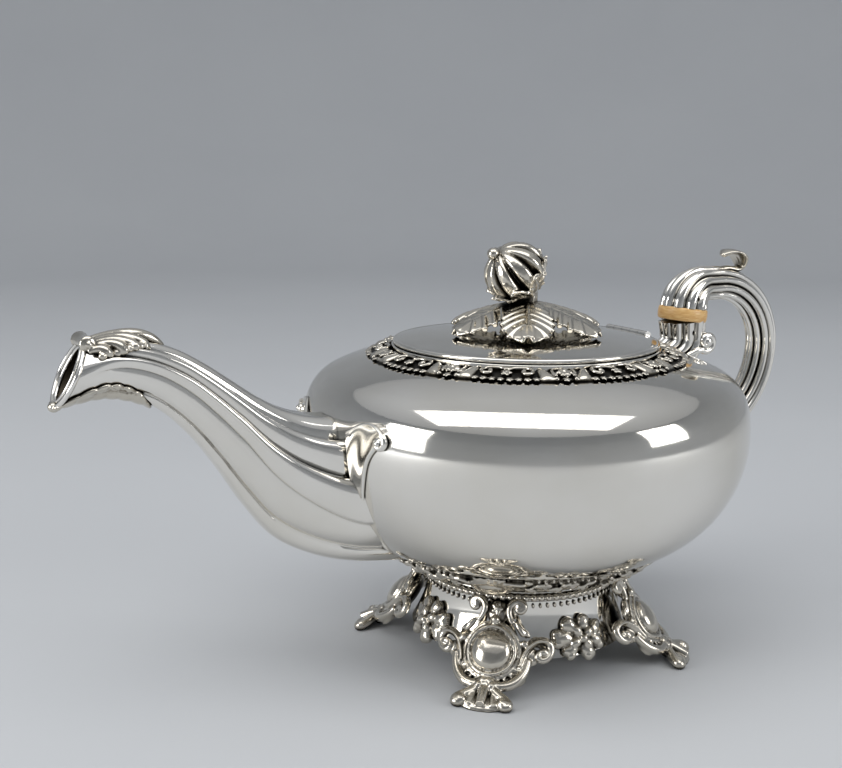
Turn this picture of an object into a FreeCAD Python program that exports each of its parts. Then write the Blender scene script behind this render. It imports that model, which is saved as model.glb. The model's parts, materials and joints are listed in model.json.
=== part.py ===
import FreeCAD, Part
import math
import os
import re
import Sketcher
from FreeCAD import Placement, Rotation, Vector

# Silver teapot: squat round pot on four scroll feet, swan-neck spout towards -X, C-scroll handle
# towards +X, hinged lid with a fruit finial. Origin on the pot's axis at the table, +Z up, millimetres.

DOC = FreeCAD.newDocument("silver_teapot")
SHEET = DOC.addObject("Spreadsheet::Sheet", "Sizes")

SIZES = [
    # pot
    ("body_radius", 80.0), ("equator_height", 84.0), ("lower_radius", 45.5), ("side_radius", 45.0),
    ("side_angle", 12.0), ("corner_radius", 16.0), ("corner_angle", 64.0), ("shoulder_radius", 60.0),
    ("wall", 1.5), ("mouth_radius", 44.5), ("solder_gap", 0.12),
    ("strainer_hole", 2.5), ("strainer_pitch", 9.0), ("strainer_height", 70.0),
    # mouth, border and lid
    ("seat_height", 113.2), ("bezel_wall", 1.2), ("bezel_depth", 7.0), ("ledge_radius", 48.3),
    ("border_radius", 57.0), ("border_rise", 2.6), ("border_lip", 1.0), ("border_swell", 1.1),
    ("shell_notch", 0.9),
    ("lid_radius", 47.8), ("lid_rim", 1.7), ("lid_crown", 3.0), ("lid_sheet", 1.2),
    ("seat_clearance", 0.1), ("flange_clearance", 0.5), ("flange_wall", 1.0), ("flange_depth", 5.0),
    # hinge
    ("hinge_offset", 46.3), ("knuckle_radius", 1.4), ("knuckle_length", 4.6), ("knuckle_gap", 0.15),
    ("hinge_pin_radius", 0.7), ("pin_clearance", 0.05), ("hinge_slack", 0.25),
    # finial
    ("stud_radius", 1.8), ("stud_clearance", 0.1), ("stud_bite", 7.0), ("stud_tail", 1.0),
    ("washer_radius", 6.0), ("washer_height", 0.8), ("nut_radius", 4.2), ("nut_height", 3.0),
    ("neck_height", 127.5), ("neck_radius", 3.4), ("leaf_reach", 30.0), ("leaf_sheet", 1.3),
    ("leaf_lift", 0.3), ("leaf_count", 6.0), ("leaf_half_width", 11.0),
    ("fruit_radius", 11.4), ("fruit_height", 21.5), ("fruit_rib", 1.6),
    ("fruit_tilt", 26.0),
    # base
    ("border_band_inner", 80.0), ("border_band_outer", 62.0), ("border_band_height", 1.6),
    ("collar_radius", 34.0), ("collar_waist", 32.2), ("collar_foot", 28.2), ("collar_wall", 2.4),
    ("bead_height", 29.8), ("bead_radius", 1.4),
    ("skirt_sheet", 1.6), ("skirt_hem", 9.5), ("skirt_hem_radius", 40.0),
    ("skirt_hollow", 34.9),
    ("foot_reach", 61.0), ("foot_width", 15.0), ("toe_width", 20.0), ("toe_height", 4.6),
    ("toe_length", 10.0), ("foot_crest", 27.2), ("foot_bulge", 45.0), ("boss_height", 15.5),
    ("boss_radius", 8.6), ("boss_depth", 2.6), ("boss_seat", 44.0), ("boss_lean", 28.0),
    ("flower_height", 15.0), ("flower_breadth", 11.0), ("flower_rise", 7.2), ("flower_notch", 1.5),
    ("flower_eye", 2.1), ("flower_face", 42.5), ("flower_relief", 1.6),
    # spout
    ("spout_wall", 1.4), ("root_half", 28.0), ("root_width", 21.0), ("tip_half", 10.2),
    ("tip_width", 9.5), ("tip_reach", 162.3), ("tip_height", 114.5), ("leaf_stand", 1.8),
    ("tip_leaf_start", 135.5), ("lip_leaf_start", 139.0),
    # handle
    ("handle_start", 7.0), ("handle_base", 122.4), ("handle_lean", 7.0), ("first_bend", 10.0),
    ("top_run", 6.0), ("second_bend", 25.5), ("third_bend", 34.0), ("third_sweep", 65.0),
    ("tail_run", 3.0), ("root_depth", 9.4), ("root_breadth", 9.0), ("grip_depth", 6.3),
    ("grip_breadth", 5.8), ("tail_depth", 6.6), ("tail_breadth", 6.2),
    ("insulator_height", 5.0), ("insulator_flange", 0.4), ("tenon_radius", 3.4), ("tenon_length", 7.0),
    ("tenon_clearance", 0.05), ("tenon_space", 0.4), ("cross_pin_radius", 0.9), ("cross_pin_setback", 4.0),
    ("socket_foot_depth", 11.5), ("socket_foot_breadth", 11.0), ("socket_waist", 8.2),
    ("upper_socket_length", 27.0), ("socket_curl", 3.4), ("lower_socket_length", 18.0),
    ("reed_depth", 0.9), ("thumb_length", 11.0), ("thumb_rise", 6.6), ("thumb_breadth", 8.4),
    ("thumb_sheet", 2.0),
]
ALIASES = {}
for row, (alias, size) in enumerate(SIZES, 1):
    SHEET.set("A%d" % row, alias)
    SHEET.set("B%d" % row, repr(size))
    SHEET.setAlias("B%d" % row, alias)
    ALIASES[alias] = True
DOC.recompute()


def bound(text):
    """The same formula, with each size's name pointing at the sheet."""
    return re.sub(r"[a-z_]+", lambda m: "Sizes." + m.group() if m.group() in ALIASES else m.group(), text)


def num(text):
    """A formula's value in millimetres or degrees."""
    return float(SHEET.evalExpression(bound(text).replace("Sizes.", "")))


def plane(body, role):
    return [item for item in body.Origin.OriginFeatures if item.Role == role][0]


def new_body(label):
    body = DOC.addObject("PartDesign::Body", label)
    body.Label = label
    return body


def fix_point(sketch, geo, pos, x, y):
    """Binds one sketch point to its two formulas."""
    for kind, axis, text in (("DistanceX", -2, x), ("DistanceY", -1, y)):
        if text == "0":
            sketch.addConstraint(Sketcher.Constraint("PointOnObject", geo, pos, axis))
            continue
        place = sketch.addConstraint(Sketcher.Constraint(kind, -1, 1, geo, pos, num(text)))
        sketch.setExpression("Constraints[%d]" % place, bound(text))


def outline(body, name, role, start, legs):
    """A closed sketch of lines (x, y) and arcs (via x, via y, x, y) whose points are formulas."""
    sketch = body.newObject("Sketcher::SketchObject", name)
    sketch.AttachmentSupport = [(plane(body, role), "")]
    sketch.MapMode = "FlatFace"
    ends = []
    here = start
    for leg in legs:
        there = leg[-2:]
        first = Vector(num(here[0]), num(here[1]), 0)
        last = Vector(num(there[0]), num(there[1]), 0)
        if len(leg) == 2:
            geo = sketch.addGeometry(Part.LineSegment(first, last), False)
        else:
            via = Vector(num(leg[0]), num(leg[1]), 0)
            geo = sketch.addGeometry(Part.Arc(first, via, last), False)
        gaps = [sketch.getPoint(geo, end).distanceToPoint(first) for end in (1, 2)]
        ends.append((geo, 1, 2) if gaps[0] < gaps[1] else (geo, 2, 1))
        fix_point(sketch, geo, ends[-1][1], here[0], here[1])
        if len(leg) == 4:
            mark = sketch.addGeometry(Part.Point(via), True)
            fix_point(sketch, mark, 1, leg[0], leg[1])
            sketch.addConstraint(Sketcher.Constraint("PointOnObject", mark, 1, geo))
        here = there
    for (geo, _, tail), (following, head, _) in zip(ends, ends[1:] + ends[:1]):
        sketch.addConstraint(Sketcher.Constraint("Coincident", geo, tail, following, head))
    return sketch


def ring(label, start, legs):
    """A turned piece about the pot's axis."""
    body = new_body(label)
    sketch = outline(body, label + "_profile", "XZ_Plane", start, legs)
    turn = body.newObject("PartDesign::Revolution", label + "_turn")
    turn.Profile = sketch
    turn.ReferenceAxis = (sketch, ["V_Axis"])
    turn.Angle = 360.0
    return body


def pad(body, sketch, length):
    """A pad of that length, half on each side of its sketch."""
    block = body.newObject("PartDesign::Pad", sketch.Name + "_pad")
    block.Profile = sketch
    block.setExpression("Length", bound(length))
    block.Midplane = True
    return block


def rectangle(body, name, role, low, high):
    corners = [(high[0], low[1]), high, (low[0], high[1]), low]
    return outline(body, name, role, low, corners)


def lobed(body, name, role, middle, lobes, wide, tall, sunk):
    """A closed outline of convex lobes round (0, middle), sunk between them; wide and tall are half sizes."""
    step = 360 / lobes
    turn = lambda share: (share * step + 90) % 360
    notch = lambda lobe: (
        f"({wide} - {sunk}) * cos({turn(lobe)})",
        f"{middle} + ({tall} - {sunk}) * sin({turn(lobe)})",
    )
    crest = lambda lobe: (
        f"{wide} * cos({turn(lobe + 0.5)})",
        f"{middle} + {tall} * sin({turn(lobe + 0.5)})",
    )
    legs = [crest(lobe) + notch(lobe + 1) for lobe in range(lobes)]
    return outline(body, name, role, notch(0), legs)


def polar(body, feature, count):
    pattern = body.newObject("PartDesign::PolarPattern", feature.Name + "_round")
    pattern.Originals = [feature]
    pattern.Axis = (plane(body, "Z_Axis"), [""])
    pattern.Angle = 360.0
    pattern.setExpression("Occurrences", bound(count))
    body.Tip = pattern
    return pattern


def cut(label, base, tools):
    """The base less each tool in turn; the last cut carries the label."""
    result = base
    for place, tool in enumerate(tools, 1):
        piece = DOC.addObject("Part::Cut", "%s_cut_%d" % (label, place))
        piece.Base = result
        piece.Tool = tool
        result = piece
    result.Label = label
    return result


def common(label, base, tool):
    piece = DOC.addObject("Part::Common", label + "_common")
    piece.Base = base
    piece.Tool = tool
    piece.Label = label
    return piece


def section(body, name, place, points):
    """A loft section on a plane that holds the Y axis: place is (x, z, turn about Y)."""
    sketch = outline(body, name, "YZ_Plane", points[0][-2:], points[1:])
    spot = Vector(0, num(place[1]), num(place[0]))
    sketch.AttachmentOffset = Placement(spot, Rotation(Vector(1, 0, 0), num(place[2])))
    sketch.setExpression("AttachmentOffset.Base.y", bound(place[1]))
    sketch.setExpression("AttachmentOffset.Base.z", bound(place[0]))
    sketch.setExpression("AttachmentOffset.Rotation.Angle", bound(place[2]))
    return sketch


def loft(body, sketches):
    shape = body.newObject("PartDesign::AdditiveLoft", sketches[0].Name + "_loft")
    shape.Profile = sketches[0]
    shape.Sections = sketches[1:]
    return shape


# Pot

lower_r = "(body_radius - lower_radius)"
side_r = "(body_radius - side_radius)"
corner_r = f"({side_r} + (side_radius - corner_radius) * cos(side_angle))"
corner_z = "(equator_height + (side_radius - corner_radius) * sin(side_angle))"
shoulder_r = f"({corner_r} - (shoulder_radius - corner_radius) * cos(corner_angle))"
shoulder_z = f"({corner_z} - (shoulder_radius - corner_radius) * sin(corner_angle))"


def on_arc(centre_r, centre_z, radius, grow, angle):
    reach = f"({radius} + {grow})"
    return (f"{centre_r} + {reach} * cos({angle})", f"{centre_z} + {reach} * sin({angle})")


def on_shoulder(r, grow):
    """A point of the shoulder, or of its offset by grow, at radius r."""
    return (r, f"{shoulder_z} + sqrt((shoulder_radius + {grow})^2 - ({r} - {shoulder_r})^2)")


def pot_side(grow):
    """The pot's outline from the bottom's edge up to the mouth, offset by grow."""
    lower = lambda angle: on_arc(lower_r, "equator_height", "lower_radius", grow, angle)
    side = lambda angle: on_arc(side_r, "equator_height", "side_radius", grow, angle)
    corner = lambda angle: on_arc(corner_r, corner_z, "corner_radius", grow, angle)
    turn = on_arc(shoulder_r, shoulder_z, "shoulder_radius", grow, "corner_angle")
    middle = on_shoulder(f"(({turn[0]}) + mouth_radius) / 2", grow)
    mouth = on_shoulder("mouth_radius", grow)
    start = (lower_r, f"equator_height - lower_radius - {grow}")
    legs = [
        lower("-45") + side("0"),
        side("side_angle / 2") + side("side_angle"),
        corner("(side_angle + corner_angle) / 2") + turn,
        middle + mouth,
    ]
    return start, legs


def backwards(start, legs):
    """The same outline walked from its end to its start."""
    points = [start] + [leg[-2:] for leg in legs]
    walked = [leg[:-2] + points[place] for place, leg in enumerate(legs)]
    return points[-1], walked[::-1]


outer_start, outer_legs = pot_side("0")
inner_start, inner_legs = backwards(*pot_side("(0 - wall)"))
floor_low = "equator_height - lower_radius"
floor_high = "equator_height - lower_radius + wall"
body_shell = ring(
    "body_shell",
    ("0", floor_low),
    [outer_start] + outer_legs + [inner_start] + inner_legs + [("0", floor_high), ("0", floor_low)],
)
strainer = body_shell.newObject("Sketcher::SketchObject", "strainer_holes")
strainer.AttachmentSupport = [(plane(body_shell, "YZ_Plane"), "")]
strainer.MapMode = "FlatFace"
for place in range(7):
    reach = "0" if place == 0 else "strainer_pitch"
    across = f"{reach} * cos({place} * 60)"
    upward = f"strainer_height + {reach} * sin({place} * 60)"
    centre = Vector(num(across), num(upward), 0)
    hole = strainer.addGeometry(Part.Circle(centre, Vector(0, 0, 1), num("strainer_hole")), False)
    fix_point(strainer, hole, 3, "0" if place == 0 else across, upward)
    girth = strainer.addConstraint(Sketcher.Constraint("Radius", hole, num("strainer_hole")))
    strainer.setExpression("Constraints[%d]" % girth, bound("strainer_hole"))
DOC.recompute()
piercing = body_shell.newObject("PartDesign::Pocket", "strainer")
piercing.Profile = strainer
piercing.Type = 1
piercing.Midplane = False
DOC.recompute()

# The pot filled to its axis and grown by the solder gap: what is soldered on is cut back to it.
skin_start, skin_legs = pot_side("solder_gap")
pot_skin = ring(
    "pot_skin",
    ("0", f"{floor_low} - solder_gap"),
    [skin_start] + skin_legs + [("0", skin_legs[-1][-1]), ("0", f"{floor_low} - solder_gap")],
)

# Mouth: bezel with the lid's seat, and the cast border round it

bezel_out = "(mouth_radius - solder_gap)"
bezel_in = f"({bezel_out} - bezel_wall)"
under_ledge = on_shoulder("ledge_radius", "solder_gap")
under_mouth = on_shoulder(bezel_out, "solder_gap")
under_mid = on_shoulder(f"(ledge_radius + {bezel_out}) / 2", "solder_gap")
lid_bezel = ring(
    "lid_bezel",
    (bezel_in, "seat_height - bezel_depth - bezel_wall"),
    [
        (bezel_out, "seat_height - bezel_depth - bezel_wall"),
        under_mouth,
        under_mid + under_ledge,
        ("ledge_radius", "seat_height"),
        (bezel_in, "seat_height"),
        (bezel_in, "seat_height - bezel_depth - bezel_wall"),
    ],
)

border_in = "(ledge_radius + solder_gap)"
border_low = on_shoulder(border_in, "solder_gap")
border_edge = on_shoulder("border_radius", "solder_gap")
border_under = on_shoulder(f"({border_in} + border_radius) / 2", "solder_gap")
border_top = f"{border_low[1]} + border_rise"
border_ring = ring(
    "border_ring",
    border_low,
    [
        border_under + border_edge,
        ("border_radius", f"{border_edge[1]} + border_lip"),
        (f"({border_in} + border_radius) / 2", f"({border_top} + {border_edge[1]} + border_lip) / 2 + border_swell")
        + (border_in, border_top),
        border_low,
    ],
)
BORDER_SHELLS = 36


def scalloped(label, blank, radius, shells, sunk):
    """The blank with its outer edge cut into convex shells."""
    body = new_body(label + "_edge")
    sketch = lobed(body, label + "_shells", "XY_Plane", "0", shells, radius, radius, sunk)
    DOC.recompute()
    pad(body, sketch, "3 * neck_height")
    return common(label, blank, body)


shoulder_border = scalloped("shoulder_border", border_ring, "border_radius", BORDER_SHELLS, "shell_notch")

# Lid: crowned plate with a rim, notched for the hinge, and the flange that drops into the bezel

lid_under = "(seat_height + seat_clearance)"
lid_edge = f"({lid_under} + lid_rim)"
crown_top = f"({lid_edge} + lid_crown)"
flange_out = f"({bezel_in} - flange_clearance)"
flange_in = f"({flange_out} - flange_wall)"
lid_plate_body = ring(
    "lid_blank",
    ("stud_radius + stud_clearance", f"{crown_top} - lid_sheet"),
    [
        (f"{flange_in} / 2", f"{crown_top} - lid_sheet - ({crown_top} - lid_sheet - {lid_under}) / 4")
        + (flange_in, lid_under),
        ("lid_radius", lid_under),
        ("lid_radius", lid_edge),
        ("lid_radius - lid_rim", lid_edge),
        ("(lid_radius - lid_rim) / 2", f"{crown_top} - lid_crown / 4")
        + ("stud_radius + stud_clearance", crown_top),
        ("stud_radius + stud_clearance", f"{crown_top} - lid_sheet"),
    ],
)
hinge_half = "(2.5 * knuckle_length + 2 * knuckle_gap)"
hinge_height = f"({lid_under} + knuckle_radius)"
notch_edge = "(hinge_offset - knuckle_radius - hinge_slack)"
notch_body = new_body("hinge_notch")
notch = rectangle(
    notch_body,
    "notch_outline",
    "XZ_Plane",
    (notch_edge, f"{lid_under} - lid_rim"),
    ("lid_radius + lid_rim", f"{crown_top} + lid_rim"),
)
pad(notch_body, notch, f"2 * {hinge_half} + 2 * hinge_slack")
lid_plate = cut("lid_plate", lid_plate_body, [notch_body])
lid_flange = ring(
    "lid_flange",
    (flange_in, lid_under),
    [
        (flange_in, f"{lid_under} - flange_depth"),
        (flange_out, f"{lid_under} - flange_depth"),
        (flange_out, lid_under),
        (flange_in, lid_under),
    ],
)


# Hinge: five knuckles on one pin; the outer two and the middle one stand on the bezel's seat

def cylinder(name, radius, length, centre, axis=Vector(0, 1, 0)):
    """A cylinder through centre along axis, half its length each way; all sizes are formulas."""
    rod = DOC.addObject("Part::Cylinder", name)
    rod.setExpression("Radius", bound(radius))
    rod.setExpression("Height", bound(length))
    turn = Rotation(Vector(0, 0, 1), axis)
    rod.Placement = Placement(Vector(), turn)
    along = turn.multVec(Vector(0, 0, 1))
    for letter, middle, share in zip("xyz", centre, along):
        rod.setExpression("Placement.Base." + letter, bound(f"{middle} - ({length}) / 2 * ({share:.9f})"))
    return rod


def block(name, low, high):
    box = DOC.addObject("Part::Box", name)
    for letter, side, bottom, top in zip("xyz", ("Length", "Width", "Height"), low, high):
        box.setExpression(side, bound(f"({top}) - ({bottom})"))
        box.setExpression("Placement.Base." + letter, bound(bottom))
    return box


def fuse(label, pieces):
    whole = DOC.addObject("Part::MultiFuse", label)
    whole.Shapes = pieces
    whole.Label = label
    return whole


def knuckles(label, places, low, high):
    """Barrels at those places along the pin, each with a tab between low and high (x, z)."""
    barrels = []
    for place in places:
        middle = f"(({place}) * (knuckle_length + knuckle_gap))"
        centre = ("hinge_offset", middle, hinge_height)
        barrel = cylinder("%s_barrel_%d" % (label, place), "knuckle_radius", "knuckle_length", centre)
        tab = block(
            "%s_tab_%d" % (label, place),
            (low[0], f"{middle} - knuckle_length / 2", low[1]),
            (high[0], f"{middle} + knuckle_length / 2", high[1]),
        )
        barrels += [barrel, tab]
    bore = cylinder(
        label + "_bore", "hinge_pin_radius + pin_clearance", f"3 * {hinge_half}", ("hinge_offset", "0", hinge_height)
    )
    return cut(label, fuse(label + "_blank", barrels), [bore])


hinge_body_knuckles = knuckles(
    "hinge_body_knuckles",
    (-2, 0, 2),
    ("hinge_offset - knuckle_radius", "seat_height"),
    ("hinge_offset + knuckle_radius", hinge_height),
)
hinge_lid_knuckles = knuckles(
    "hinge_lid_knuckles",
    (-1, 1),
    (notch_edge, f"{lid_under} + seat_clearance"),
    ("hinge_offset", f"{lid_edge} - seat_clearance"),
)
hinge_axis = ("hinge_offset", "0", hinge_height)
hinge_pin = cylinder("hinge_pin", "hinge_pin_radius", f"2 * {hinge_half}", hinge_axis)

# Finial: leaf spray on the lid, fruit screwed through the lid with a stud, washer and nut

crown_drop = "(lid_crown * (leaf_reach / (lid_radius - lid_rim))^2)"
leaf_low = f"({crown_top} - {crown_drop} + leaf_lift)"
spray_hole = "(stud_radius + stud_clearance)"
spray_blank = ring(
    "spray_blank",
    (spray_hole, f"{crown_top} + leaf_lift"),
    [
        ("neck_radius * 2", f"{crown_top} + leaf_lift"),
        ("leaf_reach / 2 + neck_radius", f"{crown_top} + leaf_lift + leaf_sheet * 0.6")
        + ("leaf_reach", leaf_low),
        ("leaf_reach", f"{leaf_low} + leaf_sheet"),
        ("leaf_reach / 2", f"({crown_top} + neck_height) / 2 - leaf_sheet") + ("neck_radius", "neck_height"),
        (spray_hole, "neck_height"),
        (spray_hole, f"{crown_top} + leaf_lift"),
    ],
)
leaf_body = new_body("spray_outline")
leaf_ply = outline(
    leaf_body,
    "leaf_outline",
    "XY_Plane",
    ("0", "neck_radius"),
    [
        ("leaf_reach * 0.3", "leaf_half_width * 0.62") + ("leaf_reach * 0.42", "leaf_half_width * 0.62"),
        ("leaf_reach * 0.52", "leaf_half_width * 1.0") + ("leaf_reach * 0.68", "leaf_half_width * 0.66"),
        ("leaf_reach * 0.8", "leaf_half_width * 0.74") + ("leaf_reach * 0.88", "leaf_half_width * 0.4"),
        ("leaf_reach * 0.97", "leaf_half_width * 0.3") + ("leaf_reach", "0"),
        ("leaf_reach * 0.97", "0 - leaf_half_width * 0.3") + ("leaf_reach * 0.88", "0 - leaf_half_width * 0.4"),
        ("leaf_reach * 0.8", "0 - leaf_half_width * 0.74") + ("leaf_reach * 0.68", "0 - leaf_half_width * 0.66"),
        ("leaf_reach * 0.52", "0 - leaf_half_width") + ("leaf_reach * 0.42", "0 - leaf_half_width * 0.62"),
        ("leaf_reach * 0.3", "0 - leaf_half_width * 0.62") + ("0", "0 - neck_radius"),
        ("0", "neck_radius"),
    ],
)
leaf_pad = pad(leaf_body, leaf_ply, "3 * neck_height")
DOC.recompute()
polar(leaf_body, leaf_pad, "leaf_count")
finial_leaves = common("finial_leaves", spray_blank, leaf_body)

FRUIT_RIBS = 8
# Share of the fruit's height, and of its radius there, from the stem end to the blossom end
FRUIT_LEVELS = [(0.0, 0.34), (0.1, 0.66), (0.28, 0.92), (0.5, 1.0), (0.72, 0.9), (0.9, 0.62), (1.0, 0.3)]


def ribbed_level(body, name, share, swell):
    """A ring of convex ribs across the fruit's own axis."""
    out = f"(fruit_radius * {swell})"
    sunk = f"((fruit_radius - fruit_rib) * {swell})"
    step = 360 / FRUIT_RIBS
    groove = lambda rib: (f"{sunk} * cos({rib * step})", f"{sunk} * sin({rib * step})" if rib % 4 else "0")
    crest = lambda rib: (f"{out} * cos({(rib + 0.5) * step})", f"{out} * sin({(rib + 0.5) * step})")
    legs = [crest(rib) + groove((rib + 1) % FRUIT_RIBS) for rib in range(FRUIT_RIBS)]
    sketch = outline(body, name, "XY_Plane", groove(0), legs)
    sketch.AttachmentOffset = Placement(Vector(0, 0, num(f"fruit_height * {share}")), Rotation())
    sketch.setExpression("AttachmentOffset.Base.z", bound(f"fruit_height * {share}"))
    return sketch


fruit_body = new_body("fruit_blank")
levels = [ribbed_level(fruit_body, "fruit_%d" % place, *level) for place, level in enumerate(FRUIT_LEVELS)]
DOC.recompute()
loft(fruit_body, levels)
fruit_lean = Rotation(Vector(0, 1, 0), -num("fruit_tilt"))
fruit_foot = f"neck_height + leaf_lift + fruit_radius * {FRUIT_LEVELS[0][1]} * sin(fruit_tilt)"
fruit_body.Placement = Placement(Vector(0, 0, num(fruit_foot)), fruit_lean)
fruit_body.setExpression("Placement.Base.z", bound(fruit_foot))
stud_foot = f"{crown_top} - lid_sheet - washer_height - nut_height - stud_tail"
stud_bore = cylinder("stud_bore", spray_hole, "2 * stud_bite", ("0", "0", "neck_height"), Vector(0, 0, 1))
finial_fruit = cut("finial_fruit", fruit_body, [stud_bore])


def standing(label, radius, low, high, bore=None):
    """A round piece on the pot's axis, bored for the stud where bore is given."""
    middle = ("0", "0", f"(({low}) + ({high})) / 2")
    if bore is None:
        return cylinder(label, radius, f"({high}) - ({low})", middle, Vector(0, 0, 1))
    disc = cylinder(label + "_disc", radius, f"({high}) - ({low})", middle, Vector(0, 0, 1))
    hole = cylinder(label + "_hole", bore, "neck_height", ("0", "0", low), Vector(0, 0, 1))
    return cut(label, disc, [hole])


washer_top = f"({crown_top} - lid_sheet)"
finial_stud = standing("finial_stud", "stud_radius", stud_foot, "neck_height + stud_bite - stud_clearance")
washer_foot = f"{washer_top} - washer_height - leaf_lift"
finial_washer = standing("finial_washer", "washer_radius", washer_foot, f"{washer_top} - leaf_lift", spray_hole)
nut_blank = DOC.addObject("Part::Prism", "nut_blank")
nut_blank.Polygon = 6
nut_blank.setExpression("Circumradius", bound("nut_radius"))
nut_blank.setExpression("Height", bound("nut_height"))
nut_blank.setExpression("Placement.Base.z", bound(f"{washer_foot} - nut_height"))
nut_hole = cylinder("nut_hole", spray_hole, "neck_height", ("0", "0", washer_top), Vector(0, 0, 1))
finial_nut = cut("finial_nut", nut_blank, [nut_hole])

# Base: border under the belly, collar, bead ring, skirt, feet and flower clusters

band = lambda grow, angle: on_arc(lower_r, "equator_height", "lower_radius", grow, f"0 - {angle}")
band_top = "(solder_gap + border_band_height)"
band_mid = "(border_band_inner + border_band_outer) / 2"
base_border_ring = ring(
    "base_border_ring",
    band("solder_gap", "border_band_inner"),
    [
        band("solder_gap", band_mid) + band("solder_gap", "border_band_outer"),
        band(band_top, "border_band_outer"),
        band(band_top, band_mid) + band(band_top, "border_band_inner"),
        band("solder_gap", "border_band_inner"),
    ],
)

collar_top = f"({floor_low} - solder_gap)"
collar_in = "(collar_waist - collar_wall)"
base_collar = ring(
    "base_collar",
    (collar_in, collar_top),
    [
        (collar_in, "collar_foot"),
        ("collar_radius", "collar_foot"),
        ("collar_radius", "bead_height + bead_radius"),
        ("collar_waist", f"({collar_top} + bead_height + bead_radius) / 2") + ("collar_radius", collar_top),
        (collar_in, collar_top),
    ],
)
bead_ring = DOC.addObject("Part::Torus", "bead_ring")
bead_ring.setExpression("Radius1", bound("collar_radius + solder_gap + bead_radius"))
bead_ring.setExpression("Radius2", bound("bead_radius"))
bead_ring.setExpression("Placement.Base.z", bound("bead_height"))

skirt_up = "(collar_foot - solder_gap)"
skirt_mid = f"({skirt_up} + skirt_hem) / 2"


def skirt_side(grow):
    """The skirt's hollow outline, from its top edge down to the hem, offset outwards by grow."""
    return (
        (f"collar_radius + {grow}", skirt_up),
        (f"skirt_hollow + {grow}", skirt_mid) + (f"skirt_hem_radius + {grow}", "skirt_hem"),
    )


skirt_edge, skirt_leg = skirt_side("0")
lining_edge, lining_leg = skirt_side("(0 - skirt_sheet)")
lining_start, lining_legs = backwards(lining_edge, [lining_leg])
foot_skirt = ring("foot_skirt", skirt_edge, [skirt_leg, lining_start] + lining_legs + [skirt_edge])
face_edge, face_leg = skirt_side("solder_gap")
skirt_skin = ring(
    "skirt_skin",
    ("0", skirt_up),
    [face_edge, face_leg, ("skirt_hem_radius + solder_gap", "0"), ("0", "0"), ("0", skirt_up)],
)


def scroll_foot(label):
    """One cast foot pointing along +X: S-scroll web, spread toe and an oval boss."""
    body = new_body(label + "_blank")
    web = outline(
        body,
        label + "_web",
        "XZ_Plane",
        ("collar_waist", "foot_crest"),
        [
            ("collar_radius + bead_radius", "foot_crest"),
            ("foot_bulge - bead_radius", "(foot_crest + boss_height) / 2") + ("foot_bulge", "boss_height"),
            ("foot_bulge + bead_radius", "toe_height + bead_radius") + ("foot_reach - toe_length / 2", "toe_height"),
            ("foot_reach - bead_radius", "toe_height - bead_radius / 2") + ("foot_reach", "toe_height / 2"),
            ("foot_reach", "0"),
            ("foot_reach - toe_length", "0"),
            ("foot_bulge", "toe_height / 2") + ("skirt_hem_radius", "skirt_hem"),
            ("collar_waist", "skirt_hem"),
            ("collar_waist", "foot_crest"),
        ],
    )
    pad(body, web, "foot_width")
    toe = outline(
        body,
        label + "_toe",
        "XZ_Plane",
        ("foot_reach - toe_length", "0"),
        [
            ("foot_reach", "0"),
            ("foot_reach", "toe_height / 2"),
            ("foot_reach - toe_length / 2", "toe_height") + ("foot_reach - toe_length", "toe_height / 2"),
            ("foot_reach - toe_length", "0"),
        ],
    )
    pad(body, toe, "toe_width")
    return body


def domed_boss(label):
    """Convex cartouche that leans back against the foot, turned about its own axis."""
    boss = ring(
        label + "_boss",
        ("0", "0 - boss_depth"),
        [
            ("boss_radius", "0 - boss_depth"),
            ("boss_radius", "0"),
            ("boss_radius * 0.7", "boss_depth * 0.6") + ("0", "boss_depth"),
            ("0", "0 - boss_depth"),
        ],
    )
    boss.Placement = Placement(Vector(), Rotation(Vector(0, 1, 0), num("90 - boss_lean")))
    boss.setExpression("Placement.Base.x", bound("boss_seat"))
    boss.setExpression("Placement.Base.z", bound("boss_height"))
    return boss


def turned(label, piece, angle):
    """The piece set round the pot's axis, under its own label."""
    copy = DOC.addObject("Part::Compound", label + "_set")
    copy.Links = [piece]
    copy.Placement = Placement(Vector(), Rotation(Vector(0, 0, 1), angle))
    copy.Label = label
    return copy


foot = cut("foot_pattern", fuse("foot_whole", [scroll_foot("foot"), domed_boss("foot")]), [skirt_skin])
FOOT_PLACES = {"foot_front_left": -135, "foot_front_right": -45, "foot_rear_left": 135, "foot_rear_right": 45}
feet = [turned(label, foot, angle) for label, angle in FOOT_PLACES.items()]


def flower_cluster(label):
    """Open flower on a wider bed of leaves, standing out from the skirt along +X."""
    body = new_body(label + "_whole")
    layers = [
        ("bed", 10, "flower_breadth", "flower_rise", "flower_notch", "flower_face - flower_relief"),
        ("petals", 5, "flower_rise * 0.8", "flower_rise * 0.8", "flower_notch", "flower_face"),
        ("eye", 6, "flower_eye", "flower_eye", "flower_eye * 0.07", "flower_face + flower_relief / 2"),
    ]
    for layer, petals, wide, tall, sunk, face in layers:
        sketch = lobed(body, "%s_%s" % (label, layer), "YZ_Plane", "flower_height", petals, wide, tall, sunk)
        DOC.recompute()
        pad(body, sketch, face).Midplane = False
    return body


flower = cut("flower_pattern", flower_cluster("flower"), [skirt_skin])
FLOWER_PLACES = {
    "skirt_flower_front": -90,
    "skirt_flower_rear": 90,
    "skirt_flower_spout": 180,
    "skirt_flower_handle": 0,
}
flowers = [turned(label, flower, angle) for label, angle in FLOWER_PLACES.items()]

# Spout: hollow loft through egg sections, three reeds on top and a keel below

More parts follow.
